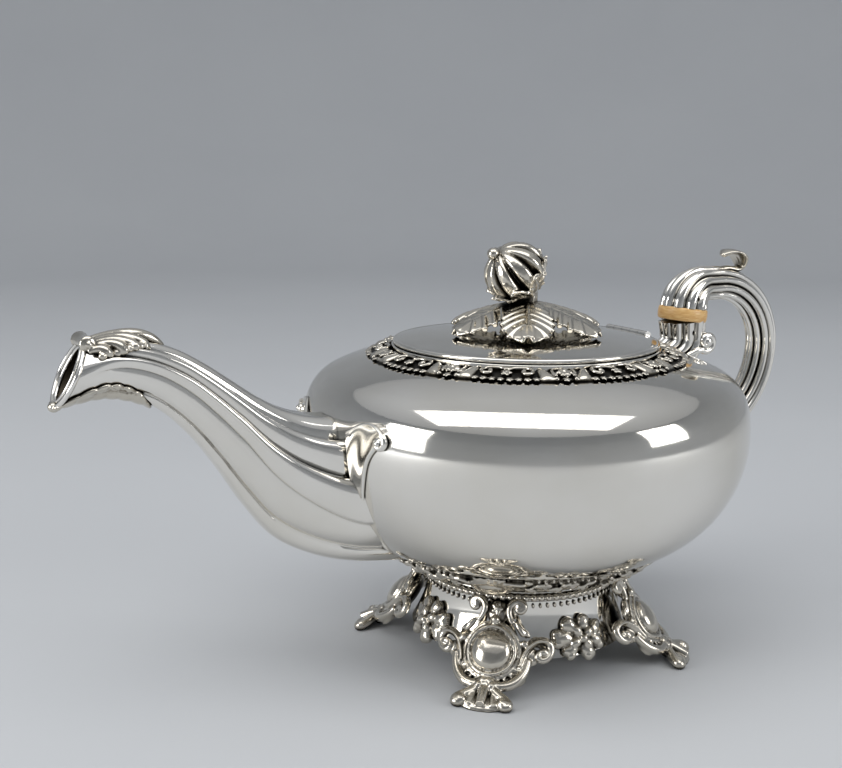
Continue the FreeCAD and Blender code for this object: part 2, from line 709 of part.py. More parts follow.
SPOUT_STATIONS = [
    # x, z, half height, half width, lean of the section's top towards -X, in shares of root and tip sizes
    ("0 - tip_reach * 0.37", "equator_height - 17", "root_half", "root_width", "20"),
    ("0 - tip_reach * 0.48", "equator_height - 14.8", "root_half * 0.957", "root_width * 0.95", "15"),
    ("0 - tip_reach * 0.555", "equator_height - 11.1", "root_half * 0.907", "root_width * 0.81", "10"),
    ("0 - tip_reach * 0.623", "equator_height - 4.8", "root_half * 0.85", "root_width * 0.68", "6"),
    ("0 - tip_reach * 0.679", "equator_height + 4.1", "root_half * 0.743", "root_width * 0.59", "5"),
    ("0 - tip_reach * 0.73", "equator_height + 13.5", "root_half * 0.607", "root_width * 0.53", "5"),
    ("0 - tip_reach * 0.785", "tip_height - 8.3", "tip_half * 1.31", "tip_width * 1.07", "5"),
    ("0 - tip_reach * 0.85", "tip_height - 1.5", "tip_half * 0.98", "tip_width * 1.01", "2"),
    ("0 - tip_reach * 0.924", "tip_height + 1.7", "tip_half * 0.88", "tip_width", "0 - 10"),
    ("0 - tip_reach", "tip_height", "tip_half", "tip_width", "0 - 21"),
]


def spout_section(body, name, station, grow):
    x, z, half, width, lean = station
    tall = f"({half} + {grow})"
    wide = f"({width} + {grow})"
    point = lambda across, up: (f"{across} * {wide}", "0" if up == 0 else f"{up} * {tall}")
    keel = ("0", f"0 - {tall}")
    points = [
        keel,
        point(0.80, -0.58) + point(0.93, 0.10),
        point(0.93, 0.52) + point(0.55, 0.74),
        ("0", tall) + point(-0.55, 0.74),
        point(-0.93, 0.52) + point(-0.93, 0.10),
        point(-0.80, -0.58) + keel,
    ]
    return section(body, name, (x, z, f"0 - ({lean})"), points)


def spout_loft(label, stations, grow):
    body = new_body(label)
    sketches = []
    for place, station in enumerate(stations):
        sketches.append(spout_section(body, "%s_%d" % (label, place), station, grow))
    DOC.recompute()
    loft(body, sketches)
    return body


spout_outside = spout_loft("spout_outside", SPOUT_STATIONS, "0")
spout_inside = spout_loft("spout_inside", SPOUT_STATIONS, "(0 - spout_wall)")
spout = cut("spout", spout_outside, [spout_inside, pot_skin])

spout_grown = spout_loft("spout_grown", SPOUT_STATIONS, "leaf_stand")
spout_skin = spout_loft("spout_skin", SPOUT_STATIONS, "solder_gap")
base_border = cut("base_border", base_border_ring, [spout_skin])
leaf_sheet_blank = cut("spout_leaves", spout_grown, [spout_skin])
beyond = "(0 - tip_reach - tip_half)"
above_tip = block(
    "above_tip",
    (beyond, "0 - root_width", "tip_height + tip_half * 0.3"),
    ("0 - tip_leaf_start", "root_width", "tip_height + 3 * tip_half"),
)
below_tip = block(
    "below_tip",
    (beyond, "0 - root_width", "tip_height - 3 * tip_half"),
    ("0 - lip_leaf_start", "root_width", "tip_height - tip_half * 0.45"),
)
spout_tip_leaf = common("spout_tip_leaf", leaf_sheet_blank, above_tip)
spout_lip_leaf = common("spout_lip_leaf", leaf_sheet_blank, below_tip)

# Handle: reeded C-scroll between two insulators, each tenoned and pinned into its neighbours

bend_one = (
    "(body_radius - handle_start + first_bend * cos(handle_lean))",
    "(handle_base - first_bend * sin(handle_lean))",
)
bend_two = (f"({bend_one[0]} + top_run)", f"({bend_one[1]} + first_bend - second_bend)")
bend_three = (f"({bend_two[0]} + second_bend - third_bend)", bend_two[1])


def on_bend(centre, radius, angle):
    """Point and heading of the handle's centre line where its bend stands at angle."""
    x, z = on_arc(centre[0], centre[1], radius, "0", angle)
    return x, z, f"({angle} - 90)"


def further(place, distance):
    """The place moved along its own heading."""
    x, z, heading = place
    return f"{x} + ({distance}) * cos({heading})", f"{z} + ({distance}) * sin({heading})", heading


handle_root = on_bend(bend_one, "first_bend", "(180 - handle_lean)")
sweep_end = on_bend(bend_three, "third_bend", "(0 - third_sweep)")
handle_tail = further(sweep_end, "tail_run")
between = lambda low, high, share: f"({low} + ({high} - {low}) * {share})"
HANDLE_STATIONS = [
    (handle_root, "root_depth", "root_breadth"),
    (on_bend(bend_one, "first_bend", "(135 - handle_lean / 2)"),)
    + (between("root_depth", "grip_depth", 0.35), between("root_breadth", "grip_breadth", 0.35)),
    (on_bend(bend_one, "first_bend", "90"),)
    + (between("root_depth", "grip_depth", 0.75), between("root_breadth", "grip_breadth", 0.75)),
    (on_bend(bend_two, "second_bend", "78"), "grip_depth", "grip_breadth"),
    (on_bend(bend_two, "second_bend", "52"), "grip_depth", "grip_breadth"),
    (on_bend(bend_two, "second_bend", "26"), "grip_depth", "grip_breadth"),
    (on_bend(bend_two, "second_bend", "0"), "grip_depth", "grip_breadth"),
    (on_bend(bend_three, "third_bend", "(0 - third_sweep / 3)"), "grip_depth", "grip_breadth"),
    (on_bend(bend_three, "third_bend", "(0 - third_sweep * 2 / 3)"), "grip_depth", "grip_breadth"),
    (sweep_end, "grip_depth", "grip_breadth"),
    (handle_tail, "tail_depth", "tail_breadth"),
]
REEDS = 8


def reeded_section(body, name, station):
    """An oval of convex reeds across the centre line."""
    (x, z, heading), depth, breadth = station
    step = 360 // REEDS

    def rim(turn, sink):
        angle = (turn * step + step / 2) % 360
        return f"({breadth} - {sink}) * cos({angle})", f"({depth} - {sink}) * sin({angle})"

    points = [rim(0, "reed_depth")]
    for reed in range(REEDS):
        points.append(rim(reed + 0.5, "0") + rim(reed + 1, "reed_depth"))
    return section(body, name, (x, z, f"0 - ({heading})"), points)


def reeded_loft(label, stations):
    body = new_body(label)
    sketches = []
    for place, station in enumerate(stations):
        sketches.append(reeded_section(body, "%s_%d" % (label, place), station))
    DOC.recompute()
    loft(body, sketches)
    return body


def heading_vector(place):
    heading = math.radians(num(place[2]))
    return Vector(math.cos(heading), 0, math.sin(heading))


def rod_at(name, radius, length, place, axis=None):
    return cylinder(name, radius, length, (place[0], "0", place[1]), axis or heading_vector(place))


def insulator(label, radius, place):
    """A ring that breaks the heat path, with a tenon on each side, centred on its place."""
    tenon = "(insulator_height / 2 + tenon_length)"
    body = ring(
        label,
        ("0", f"0 - {tenon}"),
        [
            ("tenon_radius", f"0 - {tenon}"),
            ("tenon_radius", "0 - insulator_height / 2"),
            (radius, "0 - insulator_height / 2"),
            (f"{radius} + insulator_flange", "0") + (radius, "insulator_height / 2"),
            ("tenon_radius", "insulator_height / 2"),
            ("tenon_radius", tenon),
            ("0", tenon),
            ("0", f"0 - {tenon}"),
        ],
    )
    body.Placement = Placement(Vector(), Rotation(Vector(0, 0, 1), heading_vector(place)))
    body.setExpression("Placement.Base.x", bound(place[0]))
    body.setExpression("Placement.Base.z", bound(place[1]))
    return body


half_break = "insulator_height / 2"
upper_place = further(handle_root, f"0 - {half_break}")
lower_place = further(handle_tail, half_break)
upper_radius = "(root_depth + root_breadth) / 2"
lower_radius_out = "(tail_depth + tail_breadth) / 2"
pin_reach = f"({half_break} + cross_pin_setback)"
PIN_PLACES = {
    "upper_handle": (further(upper_place, pin_reach), "root_breadth"),
    "upper_socket": (further(upper_place, f"0 - {pin_reach}"), "socket_waist"),
    "lower_handle": (further(lower_place, f"0 - {pin_reach}"), "grip_breadth"),
    "lower_socket": (further(lower_place, pin_reach), "tail_breadth * 0.9"),
}
pin_holes = {}
pins = []
for spot, (place, breadth) in PIN_PLACES.items():
    across = Vector(0, 1, 0)
    hole_radius = "cross_pin_radius + pin_clearance"
    pin_holes[spot] = rod_at("pin_hole_" + spot, hole_radius, "4 * root_breadth", place, across)
    pins.append(rod_at("pin_" + spot, "cross_pin_radius", f"2 * ({breadth} - reed_depth)", place, across))
insulator_pins = DOC.addObject("Part::Compound", "insulator_pins")
insulator_pins.Links = pins
insulator_pins.Label = "insulator_pins"

bore_radius = "tenon_radius + tenon_clearance"
bore_length = "insulator_height + 2 * tenon_length + 2 * tenon_space"
upper_bore = rod_at("upper_bore", bore_radius, bore_length, upper_place)
lower_bore = rod_at("lower_bore", bore_radius, bore_length, lower_place)
upper_insulator = cut(
    "upper_insulator",
    insulator("upper_insulator_blank", upper_radius, upper_place),
    [pin_holes["upper_handle"], pin_holes["upper_socket"]],
)
lower_insulator = cut(
    "lower_insulator",
    insulator("lower_insulator_blank", lower_radius_out, lower_place),
    [pin_holes["lower_handle"], pin_holes["lower_socket"]],
)
handle_outside = reeded_loft("handle_outside", HANDLE_STATIONS)
handle = cut(
    "handle", handle_outside, [upper_bore, lower_bore, pin_holes["upper_handle"], pin_holes["lower_handle"]]
)

socket_top = further(handle_root, "0 - insulator_height")
socket_blank = reeded_loft(
    "upper_socket_blank",
    [
        (further(socket_top, "0 - upper_socket_length"), "socket_foot_depth", "socket_foot_breadth"),
        (further(socket_top, "0 - upper_socket_length / 2"), "socket_waist", "socket_waist"),
        (socket_top, "root_depth", "root_breadth"),
    ],
)
curl_place = further(socket_top, "0 - upper_socket_length * 0.4")
curl = cylinder(
    "socket_curl_roll",
    "socket_curl",
    "socket_waist * 1.1",
    (f"{curl_place[0]} + socket_waist + socket_curl * 0.4", "0", curl_place[1]),
)
socket_whole = fuse("upper_socket_whole", [socket_blank, curl])
upper_holes = [pot_skin, upper_bore, pin_holes["upper_socket"]]
handle_upper_socket = cut("handle_upper_socket", socket_whole, upper_holes)
lower_top = further(handle_tail, "insulator_height")
lower_socket_blank = reeded_loft(
    "lower_socket_blank",
    [
        (lower_top, "tail_depth", "tail_breadth"),
        (further(lower_top, "lower_socket_length / 2"), "tail_depth * 0.9", "tail_breadth * 0.9"),
        (further(lower_top, "lower_socket_length"), "tail_depth * 1.6", "tail_breadth * 1.6"),
    ],
)
lower_holes = [pot_skin, lower_bore, pin_holes["lower_socket"]]
handle_lower_socket = cut("handle_lower_socket", lower_socket_blank, lower_holes)

crest_x = f"({bend_two[0]} - top_run / 2)"
crest_z = f"({bend_two[1]} + second_bend + grip_depth)"
thumb_body = new_body("thumb_blank")
thumb_outline = outline(
    thumb_body,
    "thumb_outline",
    "XZ_Plane",
    (crest_x, f"{crest_z} - thumb_sheet"),
    [
        (f"{crest_x} + thumb_length * 0.6", f"{crest_z} - thumb_sheet * 0.2")
        + (f"{crest_x} + thumb_length", f"{crest_z} + thumb_rise"),
        (f"{crest_x} + thumb_length * 0.9", f"{crest_z} + thumb_rise + thumb_sheet * 0.3")
        + (f"{crest_x} + thumb_length - thumb_sheet", f"{crest_z} + thumb_rise"),
        (f"{crest_x} + thumb_length * 0.4", f"{crest_z} + thumb_sheet * 0.9")
        + (crest_x, f"{crest_z} + thumb_sheet * 0.5"),
        (crest_x, f"{crest_z} - thumb_sheet"),
    ],
)
pad(thumb_body, thumb_outline, "thumb_breadth")
handle_thumb_leaf = cut("handle_thumb_leaf", thumb_body, [handle_outside])

NODES = [
    body_shell, lid_bezel, shoulder_border, base_border, base_collar, bead_ring, foot_skirt,
    *feet, *flowers,
    spout, spout_tip_leaf, spout_lip_leaf,
    handle, handle_thumb_leaf, handle_upper_socket, handle_lower_socket,
    upper_insulator, lower_insulator, insulator_pins,
    hinge_body_knuckles, hinge_pin,
    lid_plate, lid_flange, hinge_lid_knuckles,
    finial_leaves, finial_fruit, finial_stud, finial_washer, finial_nut,
]
DOC.recompute()
for item in DOC.Objects:
    if "Invalid" in item.State or "Error" in item.State:
        raise RuntimeError("%s did not recompute: %s" % (item.Label, item.State))
for node in NODES:
    if node.Shape.isNull() or not node.Shape.isValid():
        raise RuntimeError("%s has no valid shape" % node.Label)
os.makedirs("parts", exist_ok=True)
for node in NODES:
    node.Shape.exportStep("parts/%s.step" % node.Label)
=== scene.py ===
import bpy
import json
import math
from mathutils import Matrix, Vector


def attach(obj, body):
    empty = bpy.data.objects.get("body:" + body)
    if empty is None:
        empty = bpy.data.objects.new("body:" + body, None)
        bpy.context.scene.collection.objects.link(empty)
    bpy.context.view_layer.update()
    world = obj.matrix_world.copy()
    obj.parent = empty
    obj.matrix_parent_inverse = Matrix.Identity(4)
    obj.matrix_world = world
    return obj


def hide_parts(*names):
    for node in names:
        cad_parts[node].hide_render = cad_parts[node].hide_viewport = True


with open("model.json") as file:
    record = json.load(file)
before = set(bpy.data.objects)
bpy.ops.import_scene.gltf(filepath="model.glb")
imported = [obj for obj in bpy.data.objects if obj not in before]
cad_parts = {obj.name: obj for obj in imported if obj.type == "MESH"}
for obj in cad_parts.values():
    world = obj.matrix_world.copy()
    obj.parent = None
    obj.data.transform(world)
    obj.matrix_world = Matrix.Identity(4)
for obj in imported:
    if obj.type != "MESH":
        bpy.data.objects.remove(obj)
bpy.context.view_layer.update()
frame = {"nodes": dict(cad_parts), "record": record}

# All lengths below are millimetres, turned to metres as meshes are made. Spout towards -X, handle towards +X.
MM = 0.001


# Making meshes

def only(*pieces):
    """Selects these objects and nothing else; the first one is active."""
    if bpy.context.object and bpy.context.object.mode != "OBJECT":
        bpy.ops.object.mode_set(mode="OBJECT")
    bpy.ops.object.select_all(action="DESELECT")
    for piece in pieces:
        piece.select_set(True)
    bpy.context.view_layer.objects.active = pieces[0] if pieces else None


def new_object(name, data):
    piece = bpy.data.objects.new(name, data)
    bpy.context.scene.collection.objects.link(piece)
    return piece


def settle(piece):
    """Puts the object's place into its mesh."""
    only(piece)
    bpy.ops.object.transform_apply(location=True, rotation=True, scale=True)
    return piece


def tidy(piece):
    """Merges doubles and points the faces outwards."""
    only(piece)
    bpy.ops.object.mode_set(mode="EDIT")
    bpy.ops.mesh.select_all(action="SELECT")
    bpy.ops.mesh.remove_doubles(threshold=0.004 * MM)
    bpy.ops.mesh.normals_make_consistent(inside=False)
    bpy.ops.object.mode_set(mode="OBJECT")
    return piece


def turned(name, profile, segments=192):
    """A turned piece: a circle extruded edge by edge through the profile's (radius, height) points."""
    only()
    radius, height = profile[0]
    bpy.ops.mesh.primitive_circle_add(vertices=segments, radius=radius * MM, location=(0, 0, height * MM))
    piece = settle(bpy.context.object)
    piece.name = name
    bpy.ops.object.mode_set(mode="EDIT")
    bpy.ops.mesh.select_all(action="SELECT")
    for next_radius, next_height in profile[1:]:
        rise = (next_height - height) * MM
        bpy.ops.mesh.extrude_edges_move(TRANSFORM_OT_translate={"value": (0, 0, rise)})
        share = next_radius / radius
        bpy.ops.transform.resize(value=(share, share, 1), center_override=(0, 0, 0))
        radius, height = next_radius, next_height
    return tidy(piece)


def skin(name, rings, closed_rings=True, looped=False):
    """A skin through rings of points."""
    mesh = bpy.data.meshes.new(name)
    count = len(rings[0])
    points = [Vector(point) * MM for ring in rings for point in ring]
    faces = []
    for here in range(len(rings) if looped else len(rings) - 1):
        there = (here + 1) % len(rings)
        for place in range(count if closed_rings else count - 1):
            beside = (place + 1) % count
            near, far = here * count, there * count
            faces.append((near + place, near + beside, far + beside, far + place))
    mesh.from_pydata(points, [], faces)
    return new_object(name, mesh)


def cap_ends(piece):
    """Closes the open ends of a skin."""
    only(piece)
    bpy.ops.object.mode_set(mode="EDIT")
    bpy.ops.mesh.select_all(action="DESELECT")
    bpy.ops.mesh.select_non_manifold()
    bpy.ops.mesh.edge_face_add()
    bpy.ops.object.mode_set(mode="OBJECT")
    return tidy(piece)


def wire(name, points, radii, resolution=5, order=4):
    """A round rod along a smooth line, as thick at each point as its radius says."""
    curve = bpy.data.curves.new(name, "CURVE")
    curve.dimensions = "3D"
    curve.bevel_depth = MM
    curve.bevel_resolution = resolution
    curve.resolution_u = 5
    curve.use_fill_caps = True
    spline = curve.splines.new("NURBS")
    spline.points.add(len(points) - 1)
    for knot, point, radius in zip(spline.points, points, radii):
        knot.co = (*(Vector(point) * MM), 1)
        knot.radius = radius
    spline.order_u = order
    spline.use_endpoint_u = True
    only(new_object(name, curve))
    bpy.ops.object.convert(target="MESH")
    return bpy.context.object


def ball(name, place, size, turn=(0, 0, 0), segments=16):
    """A sphere drawn out to size = half lengths along its own axes."""
    only()
    bpy.ops.mesh.primitive_uv_sphere_add(segments=segments, ring_count=segments // 2, radius=1)
    piece = bpy.context.object
    piece.name = name
    piece.scale = [half * MM for half in size]
    piece.rotation_euler = turn
    piece.location = Vector(place) * MM
    return settle(piece)


def joined(name, pieces):
    only(*pieces)
    bpy.ops.object.join()
    whole = bpy.context.object
    whole.name = name
    return whole


def apply(piece, kind, **settings):
    """Adds one modifier, sets it and applies it."""
    only(piece)
    modifier = piece.modifiers.new(kind.lower(), kind)
    for key, value in settings.items():
        setattr(modifier, key, value)
    bpy.ops.object.modifier_apply(modifier=modifier.name)
    return piece


def cut(piece, cutter):
    """Takes the cutter's shape out of the piece and removes the cutter."""
    apply(piece, "BOOLEAN", operation="DIFFERENCE", object=cutter, solver="EXACT")
    bpy.data.objects.remove(cutter)
    return piece


def cast(name, pieces, grain=0.35, rounds=2):
    """One casting: the pieces grown together and their joins softened."""
    whole = joined(name, pieces)
    apply(whole, "REMESH", mode="VOXEL", voxel_size=grain * MM)
    if rounds:
        apply(whole, "SMOOTH", factor=0.5, iterations=rounds)
    return whole


def copy_of(piece, name, matrix):
    """A copy with its own mesh, moved by matrix."""
    return moved(new_object(name, piece.data.copy()), matrix)


def moved(piece, matrix):
    piece.data.transform(matrix)
    return piece


def about_axis(angle):
    return Matrix.Rotation(math.radians(angle), 4, "Z")


def shares(count):
    """0 to 1 in this many steps."""
    return [step / count for step in range(count + 1)]


def stepped(centre, reach, angle):
    """The point at this distance and angle, in degrees, from a centre in the flat."""
    turn = math.radians(angle)
    return centre[0] + reach * math.cos(turn), centre[1] + reach * math.sin(turn)


def arc(centre, radius, start, stop, count):
    """Points of an arc in (r, z), angles in degrees from +r towards +z."""
    return [stepped(centre, radius, start + (stop - start) * step / count) for step in range(count + 1)]


def between(low, high, share):
    share = min(1, max(0, share))
    share = share * share * (3 - 2 * share)
    return [a + (b - a) * share for a, b in zip(low, high)]


def smooth_line(values, share):
    """Catmull-Rom through evenly spaced values (numbers or tuples), at share 0 to 1."""
    spot = share * (len(values) - 1)
    left = min(int(spot), len(values) - 2)
    t = spot - left
    at = lambda place: Vector(values[max(0, min(len(values) - 1, place))])
    a, b, c, d = at(left - 1), at(left), at(left + 1), at(left + 2)
    bend, twist = 2 * a - 5 * b + 4 * c - d, 3 * b - a - 3 * c + d
    return 0.5 * (2 * b + (c - a) * t + bend * t * t + twist * t ** 3)


def mirrored(line, side):
    """A flat line, turned over for side = -1."""
    return [(side * across, up) for across, up in line]


def volute(radius, start, sweep, count=22):
    """A spiral's line in the flat, from its outside at start degrees in to its eye over sweep degrees."""
    line = []
    for share in shares(count):
        line.append(stepped((0, 0), radius * (1 - 0.78 * share ** 0.8), start + sweep * share))
    return line


# Finishes

def hex_colour(text):
    """sRGB hex to linear colour."""
    parts = [int(text[place:place + 2], 16) / 255 for place in (1, 3, 5)]
    return [part / 12.92 if part <= 0.04045 else ((part + 0.055) / 1.055) ** 2.4 for part in parts] + [1]


def set_inputs(tree, node, inputs):
    """Sets a node's inputs to values, or links them to other nodes' output sockets."""
    for key, value in inputs.items():
        if isinstance(value, bpy.types.NodeSocket):
            tree.links.new(value, node.inputs[key])
        else:
            node.inputs[key].default_value = value


def add_node(tree, kind, inputs=None, stops=(), **settings):
    """One shader node; inputs are values or output sockets, stops are a ramp's places and colours."""
    made = tree.nodes.new(kind)
    for key, value in settings.items():
        setattr(made, key, value)
    set_inputs(tree, made, inputs or {})
    for place, (position, colour) in enumerate(stops):
        ramp = made.color_ramp.elements
        stop = ramp[place] if place < 2 else ramp.new(position)
        stop.position = position
        stop.color = hex_colour(colour)
    return made


def new_material(name):
    material = bpy.data.materials.new(name)
    material.use_nodes = True
    tree = material.node_tree
    shader = tree.nodes["Principled BSDF"]
    place = add_node(tree, "ShaderNodeTexCoord").outputs["Object"]
    return material, tree, shader, place


def polished_silver():
    """Silver, raised and hand-polished: near mirror, faint haze and scratches, painted shade in the crevices.
    """
    material, tree, shader, place = new_material("polished_silver")
    haze = add_node(tree, "ShaderNodeTexNoise", {"Vector": place, "Scale": 1 / (45 * MM), "Detail": 4.0})
    stops = [(0.35, "#e6e2d9"), (0.65, "#efece6")]
    tone = add_node(tree, "ShaderNodeValToRGB", {"Fac": haze.outputs["Fac"]}, stops)
    # Painted shade: ambient occlusion darkens the colour in the crevices, down to 0.12 of it.
    crevice = add_node(tree, "ShaderNodeAmbientOcclusion", {"Distance": 2.0 * MM}, samples=8)
    reach = {"Value": crevice.outputs["AO"], "From Min": 0.3, "From Max": 0.72, "To Min": 0.12}
    crevice_painted_shade = add_node(tree, "ShaderNodeMapRange", reach)
    layers = {0: tone.outputs["Color"], 1: crevice_painted_shade.outputs["Result"]}
    shaded = add_node(tree, "ShaderNodeVectorMath", layers, operation="MULTIPLY")
    reach = {"Value": haze.outputs["Fac"], "To Min": 0.05, "To Max": 0.1}
    gloss = add_node(tree, "ShaderNodeMapRange", reach)
    rubbing = add_node(tree, "ShaderNodeMapping", {"Vector": place, "Scale": (1, 1, 14)})
    strokes = {"Vector": rubbing.outputs["Vector"], "Scale": 1 / (3 * MM)}
    scratches = add_node(tree, "ShaderNodeTexNoise", strokes)
    relief = {"Height": scratches.outputs["Fac"], "Strength": 0.006, "Distance": MM}
    bump = add_node(tree, "ShaderNodeBump", relief)
    look = {"Base Color": shaded.outputs["Vector"], "Metallic": 1, "Roughness": gloss.outputs["Result"]}
    set_inputs(tree, shader, {**look, "Normal": bump.outputs["Normal"]})
    return material


def cast_silver(name, ground=None):
    """Cast and chased silver: bright on what the cloth reaches, nearly black in the recesses, partly its own
    oxide and partly painted shade from ambient occlusion.

    Where ground is given, it adds nodes that tell how far a point stands out of the ornament's ground."""
    material, tree, shader, place = new_material(name)
    # Ambient occlusion darkens the recesses: the silver's oxide there, and painted shade as well.
    shade = add_node(tree, "ShaderNodeAmbientOcclusion", {"Distance": 3.0 * MM}, samples=12)
    grime = add_node(tree, "ShaderNodeTexNoise", {"Vector": place, "Scale": 1 / (1.6 * MM), "Detail": 3.0})
    ridge = add_node(tree, "ShaderNodeNewGeometry").outputs["Pointiness"]
    reach = {"Value": ridge, "From Min": 0.42, "From Max": 0.56, "To Min": -0.28, "To Max": 0.22}
    edge = add_node(tree, "ShaderNodeMapRange", reach)
    layers = {0: grime.outputs["Fac"], 1: 0.2, 2: edge.outputs["Result"]}
    uneven = add_node(tree, "ShaderNodeMath", layers, operation="MULTIPLY_ADD")
    level = add_node(tree, "ShaderNodeMath", {0: shade.outputs["AO"], 1: uneven.outputs[0]}, operation="ADD")
    if ground:
        layers = {0: level.outputs[0], 1: ground(tree, place)}
        level = add_node(tree, "ShaderNodeMath", layers, operation="ADD")
    stops = [(0.48, "#0d0b08"), (0.98, "#cfc9bd"), (0.76, "#6b655a")]
    tone = add_node(tree, "ShaderNodeValToRGB", {"Fac": level.outputs[0]}, stops)
    reach = {"Value": level.outputs[0], "From Min": 0.4, "From Max": 1.0, "To Min": 0.5, "To Max": 0.16}
    gloss = add_node(tree, "ShaderNodeMapRange", reach)
    pits = {"Height": grime.outputs["Fac"], "Strength": 0.08, "Distance": 0.3 * MM}
    bump = add_node(tree, "ShaderNodeBump", pits)
    look = {"Base Color": tone.outputs["Color"], "Metallic": 1, "Roughness": gloss.outputs["Result"]}
    set_inputs(tree, shader, {**look, "Normal": bump.outputs["Normal"]})
    return material


def old_ivory():
    """Aged ivory-coloured heat break: honey and cream, fine grain along the ring, satin polish."""
    material, tree, shader, place = new_material("old_ivory")
    stretched = add_node(tree, "ShaderNodeMapping", {"Vector": place, "Scale": (1, 1, 5)})
    lines = {"Vector": stretched.outputs["Vector"], "Scale": 1 / (2.5 * MM), "Detail": 6.0}
    grain = add_node(tree, "ShaderNodeTexNoise", lines)
    stops = [(0.2, "#c98f45"), (0.8, "#f0cd90")]
    tone = add_node(tree, "ShaderNodeValToRGB", {"Fac": grain.outputs["Fac"]}, stops)
    pores = {"Height": grain.outputs["Fac"], "Strength": 0.05, "Distance": 0.3 * MM}
    bump = add_node(tree, "ShaderNodeBump", pores)
    look = {"Base Color": tone.outputs["Color"], "Roughness": 0.32, "IOR": 1.54}
    set_inputs(tree, shader, {**look, "Normal": bump.outputs["Normal"]})
    return material


def inside_silver():
    """The unpolished inside of the spout, dulled by tea."""
    material, tree, shader, place = new_material("inside_silver")
    stain = add_node(tree, "ShaderNodeTexNoise", {"Vector": place, "Scale": 1 / (6 * MM), "Detail": 3.0})
    stops = [(0.0, "#3a342b"), (1.0, "#5c5549")]
    tone = add_node(tree, "ShaderNodeValToRGB", {"Fac": stain.outputs["Fac"]}, stops)
    set_inputs(tree, shader, {"Base Color": tone.outputs["Color"], "Metallic": 1, "Roughness": 0.55})
    return material


SILVER = polished_silver()
INSIDE = inside_silver()
CAST = cast_silver("cast_silver")
IVORY = old_ivory()


def finish(piece, material, body, nodes=(), angle=40):
    """Smooths the piece, gives it its finish, ties it to its body and hides the solids it stands for."""
    only(piece)
    bpy.ops.object.shade_smooth_by_angle(angle=math.radians(angle))
    if not piece.data.materials:
        piece.data.materials.append(material)
    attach(piece, body)
    if nodes:
        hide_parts(*nodes)
    return piece


def polished(piece, body="pot", nodes=(), angle=40):
    return finish(piece, SILVER, body, nodes, angle)


def chased(piece, body="pot", nodes=(), angle=60):
    return finish(piece, CAST, body, nodes, angle)


# Pot

BODY_RADIUS = 80.0
EQUATOR = 84.0
LOWER_RADIUS = 45.5
SIDE_RADIUS, SIDE_ANGLE = 45.0, 12.0
CORNER_RADIUS, CORNER_ANGLE = 16.0, 64.0
SHOULDER_RADIUS = 60.0
WALL = 1.5
MOUTH = 44.5
lower_centre = (BODY_RADIUS - LOWER_RADIUS, EQUATOR)
side_centre = (BODY_RADIUS - SIDE_RADIUS, EQUATOR)


corner_centre = stepped(side_centre, SIDE_RADIUS - CORNER_RADIUS, SIDE_ANGLE)
shoulder_centre = stepped(corner_centre, CORNER_RADIUS - SHOULDER_RADIUS, CORNER_ANGLE)


def shoulder_height(radius, grow=0.0):
    return shoulder_centre[1] + math.sqrt((SHOULDER_RADIUS + grow) ** 2 - (radius - shoulder_centre[0]) ** 2)


def pot_outline(grow, fine=1):
    """(r, z) from the bottom's edge to the mouth, moved outwards by grow."""
    mouth_angle = math.degrees(math.acos((MOUTH - shoulder_centre[0]) / (SHOULDER_RADIUS + grow)))
    return (
        arc(lower_centre, LOWER_RADIUS + grow, -90, 0, 26 * fine)
        + arc(side_centre, SIDE_RADIUS + grow, 0, SIDE_ANGLE, 4 * fine)[1:]
        + arc(corner_centre, CORNER_RADIUS + grow, SIDE_ANGLE, CORNER_ANGLE, 12 * fine)[1:]
        + arc(shoulder_centre, SHOULDER_RADIUS + grow, CORNER_ANGLE, mouth_angle, 8 * fine)[1:]
    )


# Radius at which a turned piece stops short of the axis; the doubles there are then merged or capped
POLE = 0.05
STRAINER_HOLE, STRAINER_PITCH, STRAINER_SPOT = 2.5, 9.0, (-78, 0, 70)


def make_pot():
    outside = pot_outline(0)
    inside = pot_outline(-WALL)
    bottom = (POLE, outside[0][1])
    profile = [bottom] + outside + inside[::-1] + [(POLE, inside[0][1]), bottom]
    pot = turned("body_shell_raised", profile)
    strainer = []
    for place in range(7):
        reach = STRAINER_PITCH if place else 0.0
        turn = math.radians(60 * place)
        only()
        bpy.ops.mesh.primitive_cylinder_add(vertices=24, radius=STRAINER_HOLE * MM, depth=30 * MM)
        drill = bpy.context.object
        drill.rotation_euler = (0, math.pi / 2, 0)
        drill.location = (Vector(STRAINER_SPOT) + Vector((0, math.cos(turn), math.sin(turn))) * reach) * MM
        strainer.append(settle(drill))
    return polished(cut(pot, joined("drill", strainer)), nodes=["body_shell"])


make_pot()


def pot_cutter(grow):
    """The pot as a filled solid, for trimming what is soldered to it."""
    outside = pot_outline(grow)
    top = (POLE, outside[-1][1])
    return turned("pot_cutter", [(POLE, outside[0][1])] + outside + [top], segments=160)


def trim_to_pot(piece, grow=-0.7):
    return cut(piece, cap_ends(pot_cutter(grow)))


# Lid seat, lid and flange

SEAT = 113.2
LEDGE = 48.3
LID_RADIUS, LID_RIM, LID_CROWN, LID_SHEET = 47.8, 1.7, 3.0, 1.2
BEZEL_INNER, BEZEL_OUTER, BEZEL_DEPTH, BEZEL_ROUND = 43.2, 44.4, 8.2, 0.4
FLANGE_INNER, FLANGE_OUTER, FLANGE_LOW = 41.7, 42.7, 108.3
lid_low = SEAT + 0.1
lid_edge = lid_low + LID_RIM
lid_top = lid_edge + LID_CROWN


def lid_height(radius):
    """Top of the crowned lid."""
    return lid_top - LID_CROWN * (radius / (LID_RADIUS - LID_RIM)) ** 2


